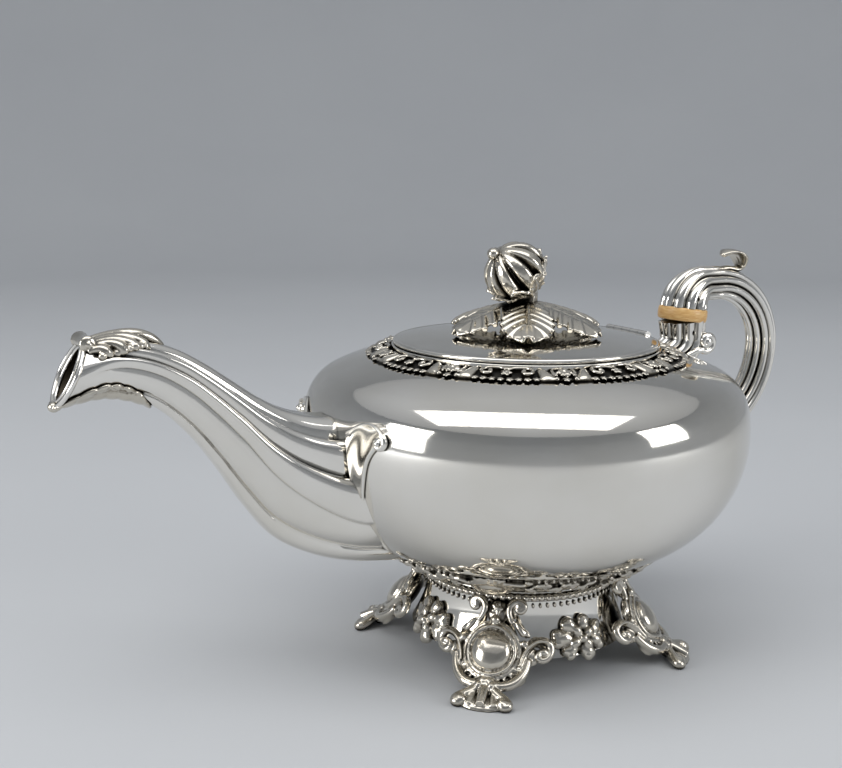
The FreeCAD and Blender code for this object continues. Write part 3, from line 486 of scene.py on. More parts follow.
def make_mouth():
    low = SEAT - BEZEL_DEPTH
    profile = [(BEZEL_INNER, low), (BEZEL_OUTER, low)]
    profile += [(radius, shoulder_height(radius)) for radius in (BEZEL_OUTER, LEDGE)]
    profile += [(LEDGE, SEAT - BEZEL_ROUND)]
    profile += arc((LEDGE - BEZEL_ROUND, SEAT - BEZEL_ROUND), BEZEL_ROUND, 0, 90, 4)
    profile += [(BEZEL_INNER + 0.3, SEAT), (BEZEL_INNER, SEAT - 0.3), (BEZEL_INNER, low)]
    return polished(turned("lid_seat_ring", profile), nodes=["lid_bezel"])


make_mouth()
HINGE_X, HINGE_HALF, KNUCKLE = 46.3, 11.8, 1.4


def make_lid():
    dome = [(radius, lid_height(radius)) for radius in [46.0 - 2.0 * step for step in range(23)]]
    rim = arc((LID_RADIUS - LID_RIM / 2, lid_edge - LID_RIM / 2), LID_RIM / 2, -90, 90, 10)
    profile = [(FLANGE_INNER, lid_low)] + rim + [(46.6, lid_edge - 0.15)] + dome + [(POLE, lid_top)]
    profile += [(POLE, lid_top - LID_SHEET), (20, lid_height(20) - LID_SHEET), (FLANGE_INNER, lid_low)]
    lid = turned("lid_plate_raised", profile)
    only()
    bpy.ops.mesh.primitive_cube_add(size=1)
    notch = bpy.context.object
    notch.scale = Vector((8, 2 * HINGE_HALF + 0.5, 12)) * MM
    notch.location = Vector((HINGE_X - KNUCKLE - 0.25 + 4, 0, lid_edge)) * MM
    polished(cut(lid, settle(notch)), "lid", ["lid_plate"])
    profile = [(FLANGE_INNER, lid_low), (FLANGE_INNER, FLANGE_LOW), (FLANGE_OUTER, FLANGE_LOW)]
    profile += [(FLANGE_OUTER, lid_low), (FLANGE_INNER, lid_low)]
    polished(turned("lid_flange_ring", profile), "lid", ["lid_flange"])


make_lid()

# Spout

# Stations along the spout: x, z, half height, half width, lean of the section's top towards -X
SPOUT = [
    (-60.0, 67.0, 28.0, 21.0, 20.0),
    (-77.9, 69.2, 26.8, 20.0, 15.0),
    (-90.1, 72.9, 25.4, 17.0, 10.0),
    (-101.1, 79.2, 23.8, 14.3, 6.0),
    (-110.2, 88.1, 20.8, 12.4, 5.0),
    (-118.5, 97.5, 17.0, 11.1, 5.0),
    (-127.4, 106.2, 13.4, 10.2, 5.0),
    (-138.0, 113.0, 10.0, 9.6, 2.0),
    (-150.0, 116.0, 8.8, 9.3, -10.0),
    (-162.0, 114.5, 10.3, 9.2, -26.0),
]
# Half of the section, from the top round to the keel, in shares of half width and half height: at the root
# and, with its reeds drawn up, from the bend on. Each curve is (start, pull, end): three reeds, the step
# under them, the plain flank and the keel bead.
ROOT_SIDE = [
    ((0.0, 1.0), (0.46, 1.06), (0.50, 0.73)),
    ((0.50, 0.73), (0.92, 0.88), (0.80, 0.30)),
    ((0.80, 0.30), (1.18, 0.34), (1.02, -0.24)),
    ((1.02, -0.24), (0.98, -0.33), (0.85, -0.31)),
    ((0.85, -0.31), (0.86, -0.6), (0.50, -0.72)),
    ((0.50, -0.72), (0.40, -0.72), (0.46, -0.79)),
    ((0.46, -0.79), (0.42, -1.0), (0.0, -1.0)),
]
BEND_SIDE = [
    ((0.0, 1.0), (0.42, 1.06), (0.45, 0.75)),
    ((0.45, 0.75), (0.86, 0.92), (0.76, 0.47)),
    ((0.76, 0.47), (1.16, 0.55), (1.0, 0.2)),
    ((1.0, 0.2), (0.98, 0.11), (0.86, 0.12)),
    ((0.86, 0.12), (0.98, -0.45), (0.50, -0.64)),
    ((0.50, -0.64), (0.40, -0.64), (0.46, -0.72)),
    ((0.46, -0.72), (0.42, -1.0), (0.0, -1.0)),
]
CURVE_STEPS = [6, 8, 9, 3, 12, 3, 8]
ROOT_TO, BEND_FROM = 0.1, 0.45


def pulled(start, pull, end, share):
    """Point of a curve that leaves start towards pull and arrives at end from it."""
    rest = 1 - share
    near, middle, far = rest * rest, 2 * rest * share, share * share
    return tuple(near * a + middle * b + far * c for a, b, c in zip(start, pull, end))


def spout_outline(side):
    half = []
    for (start, pull, end), steps in zip(side, CURVE_STEPS):
        half += [pulled(start, pull, end, step / steps) for step in range(steps)]
    half.append(side[-1][2])
    return half + [(-across, up) for across, up in half[-2:0:-1]]


ROOT_OUTLINE, BEND_OUTLINE = spout_outline(ROOT_SIDE), spout_outline(BEND_SIDE)
AROUND = len(ROOT_OUTLINE)
PLAIN_FROM = 0.84
BORE_ROOT, BORE_TIP = (0.58, 0.72), (0.60, 0.86)


def oval_point(step, count, across, up):
    turn = 2 * math.pi * step / count
    return across * math.sin(turn) * (1 - 0.1 * abs(math.cos(turn))), up * math.cos(turn)


def spout_section(share):
    """(across, up) points at a share of the spout's length; its reeds die into a plain oval at the tip."""
    tall, wide = smooth_line(SPOUT, share)[2:4]
    rise = min(1, max(0, (share - ROOT_TO) / (BEND_FROM - ROOT_TO)))
    fade = between((0,), (1,), (share - PLAIN_FROM) / (1 - PLAIN_FROM))[0]
    section = []
    for step in range(AROUND):
        reeded = Vector(ROOT_OUTLINE[step]).lerp(Vector(BEND_OUTLINE[step]), rise)
        across, up = reeded.lerp(Vector(oval_point(step, AROUND, 1.06, 1.0)), fade)
        section.append((across * wide, up * tall))
    return section


def on_section(share, across, up):
    """A point of the section's plane in space."""
    station = smooth_line(SPOUT, share)
    turn = math.radians(station[4])
    return station[0] - up * math.sin(turn), across, station[1] + up * math.cos(turn)


def spout_ring(share):
    return [on_section(share, across, up) for across, up in spout_section(share)]


def bore_ring(share):
    """The inside of the spout, a plain oval."""
    tall, wide = smooth_line(SPOUT, share)[2:4]
    size = between(BORE_ROOT, BORE_TIP, (share - PLAIN_FROM) / (1 - PLAIN_FROM))
    oval = [oval_point(step, AROUND, size[0] * wide, size[1] * tall) for step in range(AROUND)]
    return [on_section(share, across, up) for across, up in oval]


def pot_radius(height):
    """The pot's outer radius at a height, from its outline."""
    outline = pot_outline(0, 4)
    for (low_radius, low), (high_radius, high) in zip(outline, outline[1:]):
        if low <= height <= high:
            return low_radius + (high_radius - low_radius) * (height - low) / max(high - low, 1e-6)
    return outline[-1][0]


# Crescent leaf on the pot beside the spout, (y, z): along the spout's seam from the lower corner up,
# and its free edge
LEAF_SEAM = [(19.9, 68.0), (19.0, 75.0), (18.0, 83.0), (16.6, 91.4)]
LEAF_EDGE = [(20.4, 68.0), (23.2, 76.0), (26.2, 85.0), (31.6, 92.4)]
LEAF_ROWS = 24
EAR_SPOT, EAR_RADIUS = (31.0, 90.6), 2.3


def on_pot(across, height, lift):
    """A point over the pot's side towards the spout."""
    reach = pot_radius(height) + lift
    return Vector((-math.sqrt(reach ** 2 - across ** 2), across, height))


def make_spout_leaves():
    """Both crescent leaves, each curled into an ear at its tip."""
    pieces = []
    for side in (-1, 1):
        rings = []
        edge = []
        for along_leaf in shares(LEAF_ROWS):
            near, far = smooth_line(LEAF_SEAM, along_leaf), smooth_line(LEAF_EDGE, along_leaf)
            ring = []
            for share in shares(12):
                across, height = near.lerp(far, share)
                hollow = math.sin(math.pi * share) * along_leaf
                lift = 0.9 - 0.7 * hollow - 0.3 * share
                ring.append(on_pot(side * across, height + 3.4 * hollow * along_leaf, lift))
            rings.append(ring)
            edge.append(on_pot(side * far[0], far[1], 0.5))
        leaf = skin("leaf", rings, closed_rings=False)
        apply(leaf, "SOLIDIFY", thickness=1.6 * MM, offset=0)
        pieces.append(tidy(leaf))
        pieces.append(wire("edge", edge, [0.5 + 0.5 * share for share in shares(LEAF_ROWS)]))
        pieces.append(wire("top", [spot + Vector((-0.2, 0, 0)) for spot in rings[-1]], [0.7] * 13))
        curl = []
        for x, y in volute(EAR_RADIUS, 80, -430):
            curl.append(on_pot(side * (EAR_SPOT[0] + x), EAR_SPOT[1] + y, 1.2))
        pieces.append(wire("ear", curl, [1.1] * len(curl)))
        pieces.append(ball("eye", on_pot(side * EAR_SPOT[0], EAR_SPOT[1], 1.8), (1.2, 1.2, 1.2)))
    return pieces


def make_spout():
    outer = [spout_ring(share) for share in shares(72)]
    inner = [bore_ring(share) for share in shares(72)[::-1]]
    spout = skin("spout_swan_neck", outer + inner, looped=True)
    spout.data.materials.append(SILVER)
    spout.data.materials.append(INSIDE)
    for face in spout.data.polygons[len(outer) * AROUND:-AROUND]:
        face.material_index = 1
    trim_to_pot(tidy(spout))
    pieces = make_spout_leaves()
    for rim, radius in ((outer[-1], 0.8), (inner[0], 0.6)):
        pieces.append(wire("lip", rim + rim[:1], [radius] * (AROUND + 1)))
    for piece in pieces:
        piece.data.materials.append(SILVER)
    return polished(joined("spout_swan_neck", [spout] + pieces), nodes=["spout"], angle=50)


make_spout()

# Leaves at the spout's tip


def share_at(x):
    """How far along the spout a section's centre has this x."""
    for place, (here, there) in enumerate(zip(SPOUT, SPOUT[1:])):
        if there[0] <= x <= here[0]:
            return (place + (here[0] - x) / (here[0] - there[0])) / (len(SPOUT) - 1)
    return 1.0


def spout_spot(x, angle, lift):
    """A point on the spout, angle degrees round from its top; a negative angle is the -Y side."""
    share = share_at(x)
    tall, wide = smooth_line(SPOUT, share)[2:4]
    aim = abs((angle + 180) % 360 - 180)
    side = 1 if (angle + 180) % 360 >= 180 else -1
    section = spout_section(share)[:AROUND // 2 + 1]
    turns = [math.degrees(math.atan2(across / wide, up / tall)) for across, up in section]
    nearest = min(range(len(turns)), key=lambda place: abs(turns[place] - aim))
    beside = min(len(turns) - 1, nearest + 1) if turns[nearest] < aim else max(0, nearest - 1)
    gap = turns[beside] - turns[nearest]
    mix = (aim - turns[nearest]) / gap if abs(gap) > 0.01 else 0.0
    across, up = Vector(section[nearest]).lerp(Vector(section[beside]), min(1, max(0, mix)))
    grow = 1 + lift / math.hypot(across, up)
    return on_section(share, side * across * grow, up * grow)


# Lobes of the tip leaf: where each ends along the spout, and its angle from the top at both ends
TIP_LOBES = [(-153.4, 42, 58), (-148.8, 31, 54), (-144.8, 20, 46), (-140.6, 10, 34)]
# A lobe's path: shares of the way along it and of its swing, and its lift
LOBE_PATH = [(0.0, 0.0, 0.2), (0.5, -0.05, 0.8), (0.84, 0.3, 1.2), (1.1, 0.78, 1.1), (1.0, 1.0, 0.5)]
# The leaf's middle rib: x, lift and radius
TIP_SPINE = [
    (-160, 0.0, 1.2),
    (-155, 0.3, 1.6),
    (-149, 0.9, 1.8),
    (-143, 1.5, 2.0),
    (-138, 1.6, 1.9),
    (-134.6, 0.9, 1.5),
    (-132.6, -0.4, 0.8),
]
TIP_START = -159.5


def make_tip_leaf():
    pieces = []
    roll = Vector(spout_spot(-161.0, 0, 0.2))
    line = [roll + Vector((0, across, 0)) for across in (-5.0, -2, 0, 2, 5.0)]
    pieces.append(wire("roll", line, [2.4, 2.1, 2.0, 2.1, 2.4]))
    for side in (-1, 1):
        pieces.append(ball("eye", roll + Vector((0, 5.4 * side, -0.2)), (2.7, 1.2, 2.7)))
        pieces.append(ball("pupil", roll + Vector((0, 6.3 * side, -0.2)), (1.1, 0.9, 1.1)))
        for end, near, far in TIP_LOBES:
            line = []
            for share, swing, lift in LOBE_PATH:
                x, angle = TIP_START + (end - TIP_START) * share, near + (far - near) * swing
                line.append(spout_spot(x, side * angle, lift))
            pieces.append(wire("lobe", line, [0.8, 1.3, 1.7, 1.7, 1.3]))
            pieces.append(ball("curl", spout_spot(end + 0.9, side * (far - 3), 1.0), (1.5, 1.4, 1.4)))
            pieces.append(ball("curl", spout_spot(end - 1.2, side * (far + 1), 0.7), (1.3, 1.2, 1.2)))
    spine = [spout_spot(x, 0, lift) for x, lift, radius in TIP_SPINE]
    pieces.append(wire("spine", spine, [radius for x, lift, radius in TIP_SPINE]))
    chased(cast("spout_tip_leaf_cast", pieces, 0.3, 1), nodes=["spout_tip_leaf"])


LIP_FROM, LIP_TO, LIP_ROWS = -163.4, -138.6, 90


def lip_edge(share):
    """Angle of the leaf's scalloped edge, from the keel's two ends up to the flank in its middle."""
    wave = abs(math.sin(math.pi * 7.5 * share)) ** 0.6
    return 172 - (44 + 7 * wave) * math.sin(math.pi * min(1, max(0, share))) ** 0.7


def make_lip_leaf():
    rings = []
    for share in shares(LIP_ROWS):
        x = LIP_FROM + (LIP_TO - LIP_FROM) * share
        edge = lip_edge(share)
        ring = []
        for column in range(25):
            angle = edge + (360 - 2 * edge) * column / 24
            flute = 0.35 * abs(math.sin(math.pi * 7.5 * share)) * abs(math.cos(math.radians(angle)))
            ring.append(spout_spot(x, angle, 0.3 + flute))
        rings.append(ring)
    leaf = skin("leaf", rings, closed_rings=False)
    apply(leaf, "SOLIDIFY", thickness=1.1 * MM, offset=0)
    pieces = [tidy(leaf)]
    for side in (-1, 1):
        line = []
        for share in shares(LIP_ROWS):
            line.append(spout_spot(LIP_FROM + (LIP_TO - LIP_FROM) * share, side * lip_edge(share), 0.7))
        pieces.append(wire("edge", line, [0.6] * len(line), order=3))
        for place in range(7):
            share = (place + 0.5) / 7.5
            spot = spout_spot(LIP_FROM + (LIP_TO - LIP_FROM) * share, side * (lip_edge(share) + 3), 0.7)
            pieces.append(ball("lobe", spot, (1.1, 0.9, 0.9)))
    pieces.append(ball("beak", spout_spot(-163.2, 180, 0.2), (1.9, 2.0, 1.7)))
    chased(cast("spout_lip_leaf_cast", pieces, 0.28, 1), nodes=["spout_lip_leaf"])


make_tip_leaf()
make_lip_leaf()

# Handle: centre line of tangent arcs, from the upper insulator over the top and down to the lower one

HANDLE_X, HANDLE_Z, LEAN = 73.0, 122.4, 7.0
BEND_ONE, TOP_RUN, BEND_TWO, BEND_THREE, SWEEP, TAIL = 10.0, 6.0, 25.5, 34.0, 65.0, 3.0
ROOT_SIZE, GRIP_SIZE, TAIL_SIZE = (9.4, 9.0), (6.3, 5.8), (6.6, 6.2)
INSULATOR = 5.0
lean = math.radians(LEAN)
bend_one = (HANDLE_X + BEND_ONE * math.cos(lean), HANDLE_Z - BEND_ONE * math.sin(lean))
bend_two = (bend_one[0] + TOP_RUN, bend_one[1] + BEND_ONE - BEND_TWO)
bend_three = (bend_two[0] + BEND_TWO - BEND_THREE, bend_two[1])


def along(place, distance):
    """The place this far on, straight ahead."""
    return *stepped(place, distance, place[2]), place[2]


def handle_line(count=56):
    """(x, z, heading) along the handle."""
    places = []
    for centre, radius, start, stop, share in (
        (bend_one, BEND_ONE, 180 - LEAN, 90, 0.26),
        (bend_two, BEND_TWO, 90, 0, 0.42),
        (bend_three, BEND_THREE, 0, -SWEEP, 0.32),
    ):
        steps = int(count * share)
        for (x, z), step in zip(arc(centre, radius, start, stop, steps), range(steps + 1)):
            heading = start + (stop - start) * step / steps - 90
            if not places or (x - places[-1][0]) ** 2 + (z - places[-1][1]) ** 2 > 0.01:
                places.append((x, z, heading))
    return places + [along(places[-1], TAIL)]


def cross_ring(place, depth, breadth, reeds=0, sink=0.0, count=96):
    """Points of an oval, reeded where reeds is given, across the line at place."""
    x, z, heading = place
    turn = math.radians(heading)
    ring = []
    for step in range(count):
        angle = 2 * math.pi * step / count
        cut = sink * (1 - abs(math.sin(reeds * angle / 2))) ** 1.3 if reeds else 0
        side, out = (breadth - cut) * math.cos(angle), (depth - cut) * math.sin(angle)
        ring.append((x - out * math.sin(turn), side, z + out * math.cos(turn)))
    return ring


HANDLE = handle_line()
# Cross pins, (x, z, heading): above and below the upper insulator, below and above the lower one
PIN_SETBACK, PIN_HOLE, PIN_RADIUS = 4.0, 1.15, 0.9
PIN_HALVES = (5.6, 5.4, 3.4, 3.4)
PIN_SPOTS = [
    along(HANDLE[0], PIN_SETBACK),
    along(HANDLE[0], -INSULATOR - PIN_SETBACK),
    along(HANDLE[-1], INSULATOR + PIN_SETBACK),
    along(HANDLE[-1], -PIN_SETBACK),
]


def bored(piece, *spots):
    """The piece with a hole along Y at each spot, for a cross pin."""
    for spot in spots:
        x, z = spot[:2]
        cut(piece, wire("hole", [(x, -14, z), (x, 14, z)], [PIN_HOLE, PIN_HOLE], order=2))
    return piece


def make_handle():
    rings = []
    for step, place in enumerate(HANDLE):
        share = step / (len(HANDLE) - 1)
        size = between(ROOT_SIZE, GRIP_SIZE, share / 0.34)
        if share > 0.9:
            size = between(GRIP_SIZE, TAIL_SIZE, (share - 0.9) / 0.1)
        rings.append(cross_ring(place, *size, reeds=10, sink=2.0, count=160))
    handle = bored(cap_ends(skin("handle_reeded", rings)), PIN_SPOTS[0], PIN_SPOTS[3])
    return polished(handle, nodes=["handle"], angle=50)


make_handle()

# Half of an insulator's rounded side: how far in from its face, and how far in from its full size
INSULATOR_SIDE = [(0.0, 0.5), (0.25, 0.12), (0.8, -0.1)]


def make_insulator(name, place, size, node):
    edge = INSULATOR / 2
    side = [(inset - edge, shrink) for inset, shrink in INSULATOR_SIDE]
    side += [(0, -0.25)] + [(-height, shrink) for height, shrink in side[::-1]]
    rings = [cross_ring(along(place, height), size[0] - shrink, size[1] - shrink) for height, shrink in side]
    ring = cap_ends(skin(name, rings))
    return finish(ring, IVORY, "pot", [node])


make_insulator("upper_insulator_ring", along(HANDLE[0], -INSULATOR / 2), ROOT_SIZE, "upper_insulator")
make_insulator("lower_insulator_ring", along(HANDLE[-1], INSULATOR / 2), TAIL_SIZE, "lower_insulator")

# Upper socket's centre line (x, z) from the insulator down into the pot, and its half sizes
SOCKET_LINE = [(72.7, 117.5), (73.0, 113.5), (72.9, 109.4), (69.5, 105.4), (62.5, 102.8)]
SOCKET_SIZE = [(9.4, 9.0), (9.0, 8.6), (8.8, 8.4), (7.8, 8.0), (6.0, 7.6)]
CURL_SPOT = (78.4, 109.6)
LOWER_SOCKET, LOWER_SOCKET_SIZE = 18.0, [TAIL_SIZE, (6.0, 5.7), (6.6, 6.3), (10.5, 10.0)]


def line_ring(line, share, depth, breadth, **shape):
    """A cross ring at a share of a smooth (x, z) line."""
    x, z = smooth_line(line, share)[:2]
    ahead = smooth_line(line, min(1, share + 0.01)) - smooth_line(line, max(0, share - 0.01))
    return cross_ring((x, z, math.degrees(math.atan2(ahead[1], ahead[0]))), depth, breadth, **shape)


def make_sockets():
    rings = []
    for share in shares(20):
        size = smooth_line(SOCKET_SIZE, share)
        rings.append(line_ring(SOCKET_LINE, share, *size, reeds=10, sink=1.9, count=160))
    pieces = [bored(trim_to_pot(cap_ends(skin("socket", rings))), PIN_SPOTS[1])]
    for side in (-1, 1):
        curl = [(CURL_SPOT[0] + x, 8.2 * side, CURL_SPOT[1] + z) for x, z in volute(4.2, 215, 500)]
        pieces.append(wire("curl", [(69.0, 8.0 * side, 104.8)] + curl, [0.9] + [1.4] * len(curl)))
        pieces.append(ball("eye", (CURL_SPOT[0], 8.6 * side, CURL_SPOT[1]), (2.2, 1.8, 2.2)))
    roll = [(CURL_SPOT[0], across, CURL_SPOT[1]) for across in (-8.2, -3, 3, 8.2)]
    pieces.append(wire("roll", roll, [3.6, 3.2, 3.2, 3.6]))
    polished(joined("upper_socket_reeded", pieces), nodes=["handle_upper_socket"], angle=50)
    top = along(HANDLE[-1], INSULATOR)
    rings = []
    for share in shares(10):
        size = smooth_line(LOWER_SOCKET_SIZE, share)
        rings.append(cross_ring(along(top, LOWER_SOCKET * share), *size, reeds=10, sink=1.0, count=160))
    socket = bored(trim_to_pot(cap_ends(skin("lower_socket_reeded", rings))), PIN_SPOTS[2])
    polished(socket, nodes=["handle_lower_socket"], angle=50)


make_sockets()


def make_pins():
    pins = []
    for spot, half in zip(PIN_SPOTS, PIN_HALVES):
        x, z = spot[:2]
        pins.append(wire("pin", [(x, -half, z), (x, half, z)], [PIN_RADIUS, PIN_RADIUS], order=2))
    polished(joined("cross_pins", pins), nodes=["insulator_pins"])


make_pins()

# Thumb leaf: its line along the top reed, up and back, (x, z, half width)
THUMB = [
    (88.0, 136.3, 1.2),
    (94.0, 136.9, 1.8),
    (98.4, 136.2, 2.2),
    (100.9, 136.9, 2.8),
    (101.0, 139.0, 4.2),
    (100.0, 141.2, 5.4),
    (97.6, 142.9, 5.4),
    (94.4, 143.3, 4.4),
    (91.6, 141.8, 1.6),
]


def make_thumb_leaf():
    rings = []
    for share in shares(48):
        half = smooth_line(THUMB, share)[2]
        rings.append(line_ring(THUMB, share, 1.0, half, count=32))
    vein = [(x, 0, z + 0.5) for x, z, half in THUMB[:4]] + [(x - 0.5, 0, z) for x, z, half in THUMB[4:]]
    pieces = [cap_ends(skin("leaf", rings)), wire("vein", vein, [0.6] * len(vein))]
    chased(cast("handle_thumb_leaf_cast", pieces, 0.25, 2), nodes=["handle_thumb_leaf"])


make_thumb_leaf()

# Base: collar and skirt

COLLAR, WAIST, COLLAR_FOOT, COLLAR_WALL = 34.0, 32.2, 28.2, 2.4
WAIST_LOW = 31.2
BOTTOM = EQUATOR - LOWER_RADIUS
BEADS, BEAD_RING, BEAD_HEIGHT = 84, 35.5, 29.8
DENTIL_RING, DENTIL_HEIGHT = 34.5, 26.6
SKIRT_TOP, SKIRT_HEM, SKIRT_HEM_RADIUS, SKIRT_SHEET = 28.0, 9.5, 40.0, 1.6


def skirt_radius(height):
    """The outside of the skirt, which flares towards its hem."""
    share = min(1.0, max(0.0, (SKIRT_TOP - height) / (SKIRT_TOP - SKIRT_HEM)))
    return COLLAR + (SKIRT_HEM_RADIUS - COLLAR) * share ** 1.9


def make_base():
    inner = WAIST - COLLAR_WALL
    profile = [(inner, COLLAR_FOOT), (COLLAR, COLLAR_FOOT), (COLLAR, WAIST_LOW - 0.2)]
    for share in shares(10):
        radius = COLLAR - (COLLAR - WAIST) * math.sin(math.pi * share)
        profile.append((radius, WAIST_LOW + (BOTTOM - WAIST_LOW) * share))
    profile += [(inner, BOTTOM), (inner, COLLAR_FOOT)]
    polished(turned("base_collar_ring", profile), nodes=["base_collar"])
    beads = []
    for place in range(BEADS):
        turn = 2 * math.pi * place / BEADS
        spot = (BEAD_RING * math.cos(turn), BEAD_RING * math.sin(turn), BEAD_HEIGHT)
        beads.append(ball("bead", spot, (1.25, 1.25, 1.25), segments=10))
        spot = (DENTIL_RING * math.cos(turn), DENTIL_RING * math.sin(turn), DENTIL_HEIGHT)
        beads.append(ball("dentil", spot, (0.55, 0.55, 0.9), segments=8))
    rail = turned("rail", arc((BEAD_RING - 0.3, BEAD_HEIGHT), 0.8, 0, 360, 10), segments=128)
    chased(joined("bead_ring_strung", [rail] + beads), nodes=["bead_ring"])
    heights = [SKIRT_TOP - (SKIRT_TOP - SKIRT_HEM) * step / 14 for step in range(15)]
    outside = [(skirt_radius(height), height) for height in heights]
    inside = [(radius - SKIRT_SHEET, height) for radius, height in outside[::-1]]
    polished(turned("foot_skirt_hollow", outside + inside + [outside[0]]), nodes=["foot_skirt"])


make_base()

# Ornament: small shapes laid on a surface, a function of (across, up, lift) in millimetres

def frame_at(surface, across, up, lift):
    """The matrix that puts a flat shape on the surface: its x across, y up and z out of the surface."""
    spot = Vector(surface(across, up, lift))
    side = (Vector(surface(across + 0.1, up, lift)) - spot).normalized()
    rise = Vector(surface(across, up + 0.1, lift)) - spot
    out = side.cross(rise).normalized()
    rise = out.cross(side)
    matrix = Matrix((side, rise, out)).transposed().to_4x4()
    matrix.translation = spot * MM
    return matrix


def lump(surface, across, up, size, lift=0.0, turn=0.0, segments=14):
    """A rounded lump, size = half lengths across, up and out, turned in the surface by turn degrees."""
    piece = ball("lump", (0, 0, 0), size, (0, 0, math.radians(turn)), segments)
    return moved(piece, frame_at(surface, across, up, lift))


def bead(surface, across, up, radius, lift=0.0):
    return lump(surface, across, up, (radius, radius, radius), lift, segments=12)


def blossom(surface, across, up, size, lift=0.0, petals=5, turn=0.0):
    """A flower head: petals round a bead."""
    pieces = [bead(surface, across, up, 0.30 * size, lift + 0.22 * size)]
    for petal in range(petals):
        angle = turn + 360 * petal / petals
        shape = (0.42 * size, 0.33 * size, 0.26 * size)
        spot = stepped((across, up), 0.6 * size, angle)
        pieces.append(lump(surface, *spot, shape, lift + 0.05 * size, angle))
    return pieces


def scroll(curl_ahead, curl_behind, size, count=12):
    """A scroll's line in the flat: from its middle it bends ever tighter each way, by these degrees."""
    def half(curl, heading):
        x, y = 0.0, 0.0
        line = [(x, y)]
        for step in range(1, count + 1):
            share = step / count
            angle = heading + math.radians(curl) * (0.35 * share + 0.65 * share ** 3)
            stride = (1.0 - 0.8 * share) * size / (0.6 * count)
            x += stride * math.cos(angle)
            y += stride * math.sin(angle)
            line.append((x, y))
        return line
    return half(-curl_behind, math.pi)[:0:-1] + half(curl_ahead, 0.0)


def gadroon(surface, line, height, count=16):
    """A smooth swelling panel along a line of (across, up, half width)."""
    rings = []
    for share in shares(count):
        across, up, half = smooth_line(line, share)
        end = max(0.05, 1 - abs(2 * share - 1) ** 5)
        ring = []
        for place in range(14):
            turn = 2 * math.pi * place / 14
            ring.append(surface(across + half * math.cos(turn), up, height * end * math.sin(turn)))
        rings.append(ring)
    return cap_ends(skin("gadroon", rings))


def placed(line, across, up, turn=0.0, flip=1):
    """The line turned by turn degrees and moved; flip = -1 mirrors it first."""
    cos, sin = math.cos(math.radians(turn)), math.sin(math.radians(turn))
    return [(across + cos * flip * x - sin * y, up + sin * flip * x + cos * y) for x, y in line]


def rod(surface, line, thick, thin, lift=0.0, eye=True):
    """A scroll's rod on the surface: thick in its middle, thin at its ends, a bead in the eye of its curl."""
    last = len(line) - 1
    radii = [thick + (thin - thick) * abs(2 * place / last - 1) ** 1.5 for place in range(last + 1)]
    pieces = [wire("rod", [surface(x, y, lift) for x, y in line], radii)]
    if eye:
        pieces.append(bead(surface, *line[-1], 1.5 * thin, lift))
    return pieces


def band(name, patch, angles, low, high, thickness):
    """A plain backing strip on a patch of the pot, between up = low and high."""
    rings = []
    for angle in angles:
        surface = patch(angle)
        corners = ((low, 0), (high, 0), (high, thickness), (low, thickness))
        rings.append([surface(0, up, lift) for up, lift in corners])
    return skin(name, rings, looped=True)


def ring_of(pieces, name, count, grain, rounds=2):
    """One unit of a border, repeated round the pot and cast."""
    unit = joined("unit", pieces)
    copies = [copy_of(unit, "unit", about_axis(360 * place / count)) for place in range(1, count)]
    return cast(name, [unit] + copies, grain, rounds)


def set_round(casting, places):
    """A copy of the casting for each node, at its angle round the pot; the pattern itself is removed."""
    for node, angle in places.items():
        chased(copy_of(casting, node + "_cast", about_axis(angle)), nodes=[node])
    bpy.data.objects.remove(casting)


# Shoulder border: nine repeats of two volutes with a flower between, two tongues and a rosette

BORDER_INNER, BORDER_OUTER = 48.5, 57.0
BORDER_REPEATS, BORDER_CLIMB = 9, 0.1
border_middle = (BORDER_INNER + BORDER_OUTER) / 2
border_pitch = 2 * math.pi * border_middle / BORDER_REPEATS


def shoulder_patch(angle):
    """Across runs round the shoulder, up runs inwards to the lid and climbs a little off the pot."""
    def surface(across, up, lift):
        turn = math.radians(angle) + across / border_middle
        radius = BORDER_OUTER - up
        height = shoulder_height(radius) + lift + BORDER_CLIMB * up
        return radius * math.cos(turn), radius * math.sin(turn), height
    return surface


def border_ground(tree, place):
    """Dark on the border's plate, bright where the relief stands clear of it: oxide and painted shade on the
    plate between the relief.
    """
    split = add_node(tree, "ShaderNodeSeparateXYZ", {"Vector": place})
    flat = add_node(tree, "ShaderNodeCombineXYZ", {"X": split.outputs["X"], "Y": split.outputs["Y"]})
    radius = add_node(tree, "ShaderNodeVectorMath", {0: flat.outputs["Vector"]}, operation="LENGTH")
    spot = add_node(tree, "ShaderNodeCombineXYZ", {"X": radius.outputs["Value"], "Y": split.outputs["Z"]})
    centre = (shoulder_centre[0] * MM, shoulder_centre[1] * MM, 0)
    ends = {0: spot.outputs["Vector"], 1: centre}
    away = add_node(tree, "ShaderNodeVectorMath", ends, operation="DISTANCE")
    layers = {0: radius.outputs["Value"], 1: BORDER_CLIMB, 2: away.outputs["Value"]}
    height = add_node(tree, "ShaderNodeMath", layers, operation="MULTIPLY_ADD")
    plate = SHOULDER_RADIUS + BORDER_CLIMB * BORDER_OUTER
    reach = {"Value": height.outputs[0], "From Min": (plate + 0.5) * MM, "From Max": (plate + 1.2) * MM}
    clear = add_node(tree, "ShaderNodeMapRange", {**reach, "To Min": -0.5, "To Max": 0.16})
    return clear.outputs["Result"]


